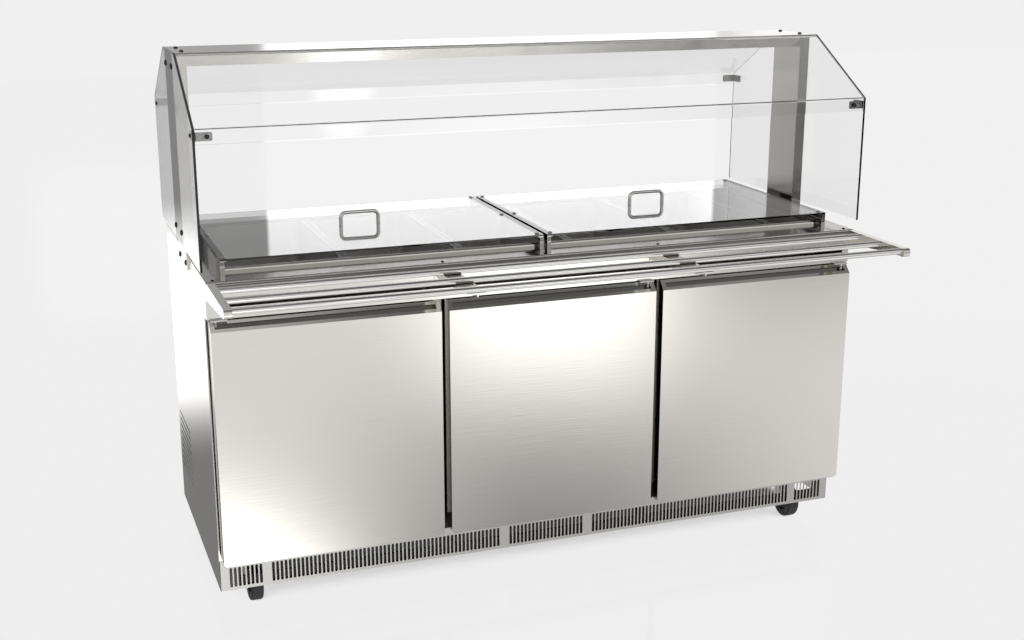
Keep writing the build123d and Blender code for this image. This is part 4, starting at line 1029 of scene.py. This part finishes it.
def painted_floor_shadow(tree):
    """Painted shadow on the floor: a socket that is 1 on the open floor and near 0 deep under the
    cabinet, eased between.
    """
    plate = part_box("kick_grille")
    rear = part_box("rear_panel")[1].y
    toe, toe_ease, rear_ease, side_ease, darkest = 0.145, 0.03, 0.1, 0.06, 0.05
    x, y, _ = coordinates(tree, "Object")
    front = plate[0].y + toe
    inside = smooth_step(tree, y, (front, front + toe_ease), (0.0, 1.0))
    before = smooth_step(tree, y, (rear - rear_ease, rear), (1.0, 0.0))
    width = math_node(tree, "ABSOLUTE", x)
    between = smooth_step(tree, width, (plate[1].x - side_ease, plate[1].x), (1.0, 0.0))
    mask = times(tree, times(tree, inside, before), between)
    return smooth_step(tree, mask, (0.0, 1.0), (1.0, darkest))


def mix_shader(tree, factor, first, second):
    """The first shader node where a factor socket is 0, the second where it is 1."""
    node = tree.nodes.new("ShaderNodeMixShader")
    for source, socket in zip((factor, first.outputs[0], second.outputs[0]), node.inputs):
        tree.links.new(source, socket)
    return node


def add_floor(stage):
    """Flat pale floor with a faint sheen and a painted shadow; metal sees the surroundings below it
    instead.
    """
    points, pale, roughness = 5, 0.8, 0.04
    ao_shadow_range, ao_shadow_tone, shade_reach, shade_samples = (0.02, 0.14), 0.6, 1.0, 16
    line = np.linspace(-stage.floor_reach, stage.floor_reach, points)
    u, v = np.meshgrid(line, line, indexing="ij")
    grid = np.stack([u, v, np.zeros_like(u)], -1)
    data = bpy.data.meshes.new("floor")
    data.from_pydata(grid.reshape(-1, 3).tolist(), [], grid_faces(points, points).tolist())
    floor = bpy.data.objects.new("floor", data)
    bpy.context.scene.collection.objects.link(floor)
    floor.visible_glossy = False
    material = bpy.data.materials.new("pale_floor")
    material.use_nodes = True
    tree = material.node_tree
    tree.nodes.clear()
    out = tree.nodes.new("ShaderNodeOutputMaterial")
    matt = preset(tree.nodes.new("ShaderNodeBsdfDiffuse"), Color=(pale, pale, pale, 1.0))
    shade = preset(tree.nodes.new("ShaderNodeAmbientOcclusion"), Distance=shade_reach)
    shade.samples = shade_samples
    glow = tree.nodes.new("ShaderNodeEmission")
    tones = (ao_shadow_tone * stage.floor_glow, stage.floor_glow)
    # Painted shadow: the floor's glow dimmed by ambient occlusion and deep under the cabinet
    painted_shadow = smooth_step(tree, shade.outputs["AO"], ao_shadow_range, tones)
    tree.links.new(times(tree, painted_shadow, painted_floor_shadow(tree)), glow.inputs["Strength"])
    tint = (*(stage.floor_gloss,) * 3, 1.0)
    gloss = preset(tree.nodes.new("ShaderNodeBsdfGlossy"), Roughness=roughness, Color=tint)
    sheen = tree.nodes.new("ShaderNodeAddShader")
    tree.links.new(glow.outputs[0], sheen.inputs[0])
    tree.links.new(gloss.outputs[0], sheen.inputs[1])
    path = tree.nodes.new("ShaderNodeLightPath").outputs
    through = path["Is Transmission Ray"]
    seen = math_node(tree, "MAXIMUM", path["Is Camera Ray"], through)
    shown = mix_shader(tree, seen, matt, sheen)
    mirrored = math_node(tree, "GREATER_THAN", path["Glossy Depth"], SOME)
    clear = tree.nodes.new("ShaderNodeBsdfTransparent")
    surface = mix_shader(tree, times(tree, mirrored, through), shown, clear)
    tree.links.new(surface.outputs[0], out.inputs["Surface"])
    data.materials.append(material)


OPERATORS = (
    SaladBarSteel, SaladBarGlass, SaladBarDark, SaladBarTray, SaladBarBows, SaladBarGrille,
    SaladBarWheels, SaladBarClips, SaladBarFasteners, SaladBarStage,
)


class SaladBarPanel(bpy.types.Panel):
    """Lists the steps and their settings"""

    bl_idname = "VIEW3D_PT_salad_bar"
    bl_label = "Salad bar"
    bl_space_type = "VIEW_3D"
    bl_region_type = "UI"
    bl_category = "Salad bar"

    def draw(self, context):
        for step in OPERATORS:
            self.layout.operator(step.bl_idname)
        for name, kind in SETTINGS:
            box = self.layout.box()
            box.label(text=kind.__doc__)
            for field in kind.__annotations__:
                box.prop(look(name), field)


def register():
    """Adds the settings, operators and panel."""
    for name, kind in SETTINGS:
        bpy.utils.register_class(kind)
        setattr(bpy.types.Scene, f"salad_bar_{name}", bpy.props.PointerProperty(type=kind))
    for step in OPERATORS + (SaladBarPanel,):
        bpy.utils.register_class(step)


def unregister():
    """Takes them away again."""
    for step in (SaladBarPanel,) + OPERATORS[::-1]:
        bpy.utils.unregister_class(step)
    for name, kind in SETTINGS[::-1]:
        delattr(bpy.types.Scene, f"salad_bar_{name}")
        bpy.utils.unregister_class(kind)


def main():
    """Runs every step."""
    register()
    bpy.ops.salad_bar.steel()
    bpy.ops.salad_bar.glass()
    bpy.ops.salad_bar.dark()
    bpy.ops.salad_bar.tray()
    bpy.ops.salad_bar.bows()
    bpy.ops.salad_bar.grille()
    bpy.ops.salad_bar.wheels()
    bpy.ops.salad_bar.clips()
    bpy.ops.salad_bar.fasteners()
    bpy.ops.salad_bar.stage()


if __name__ == "__main__":
    main()
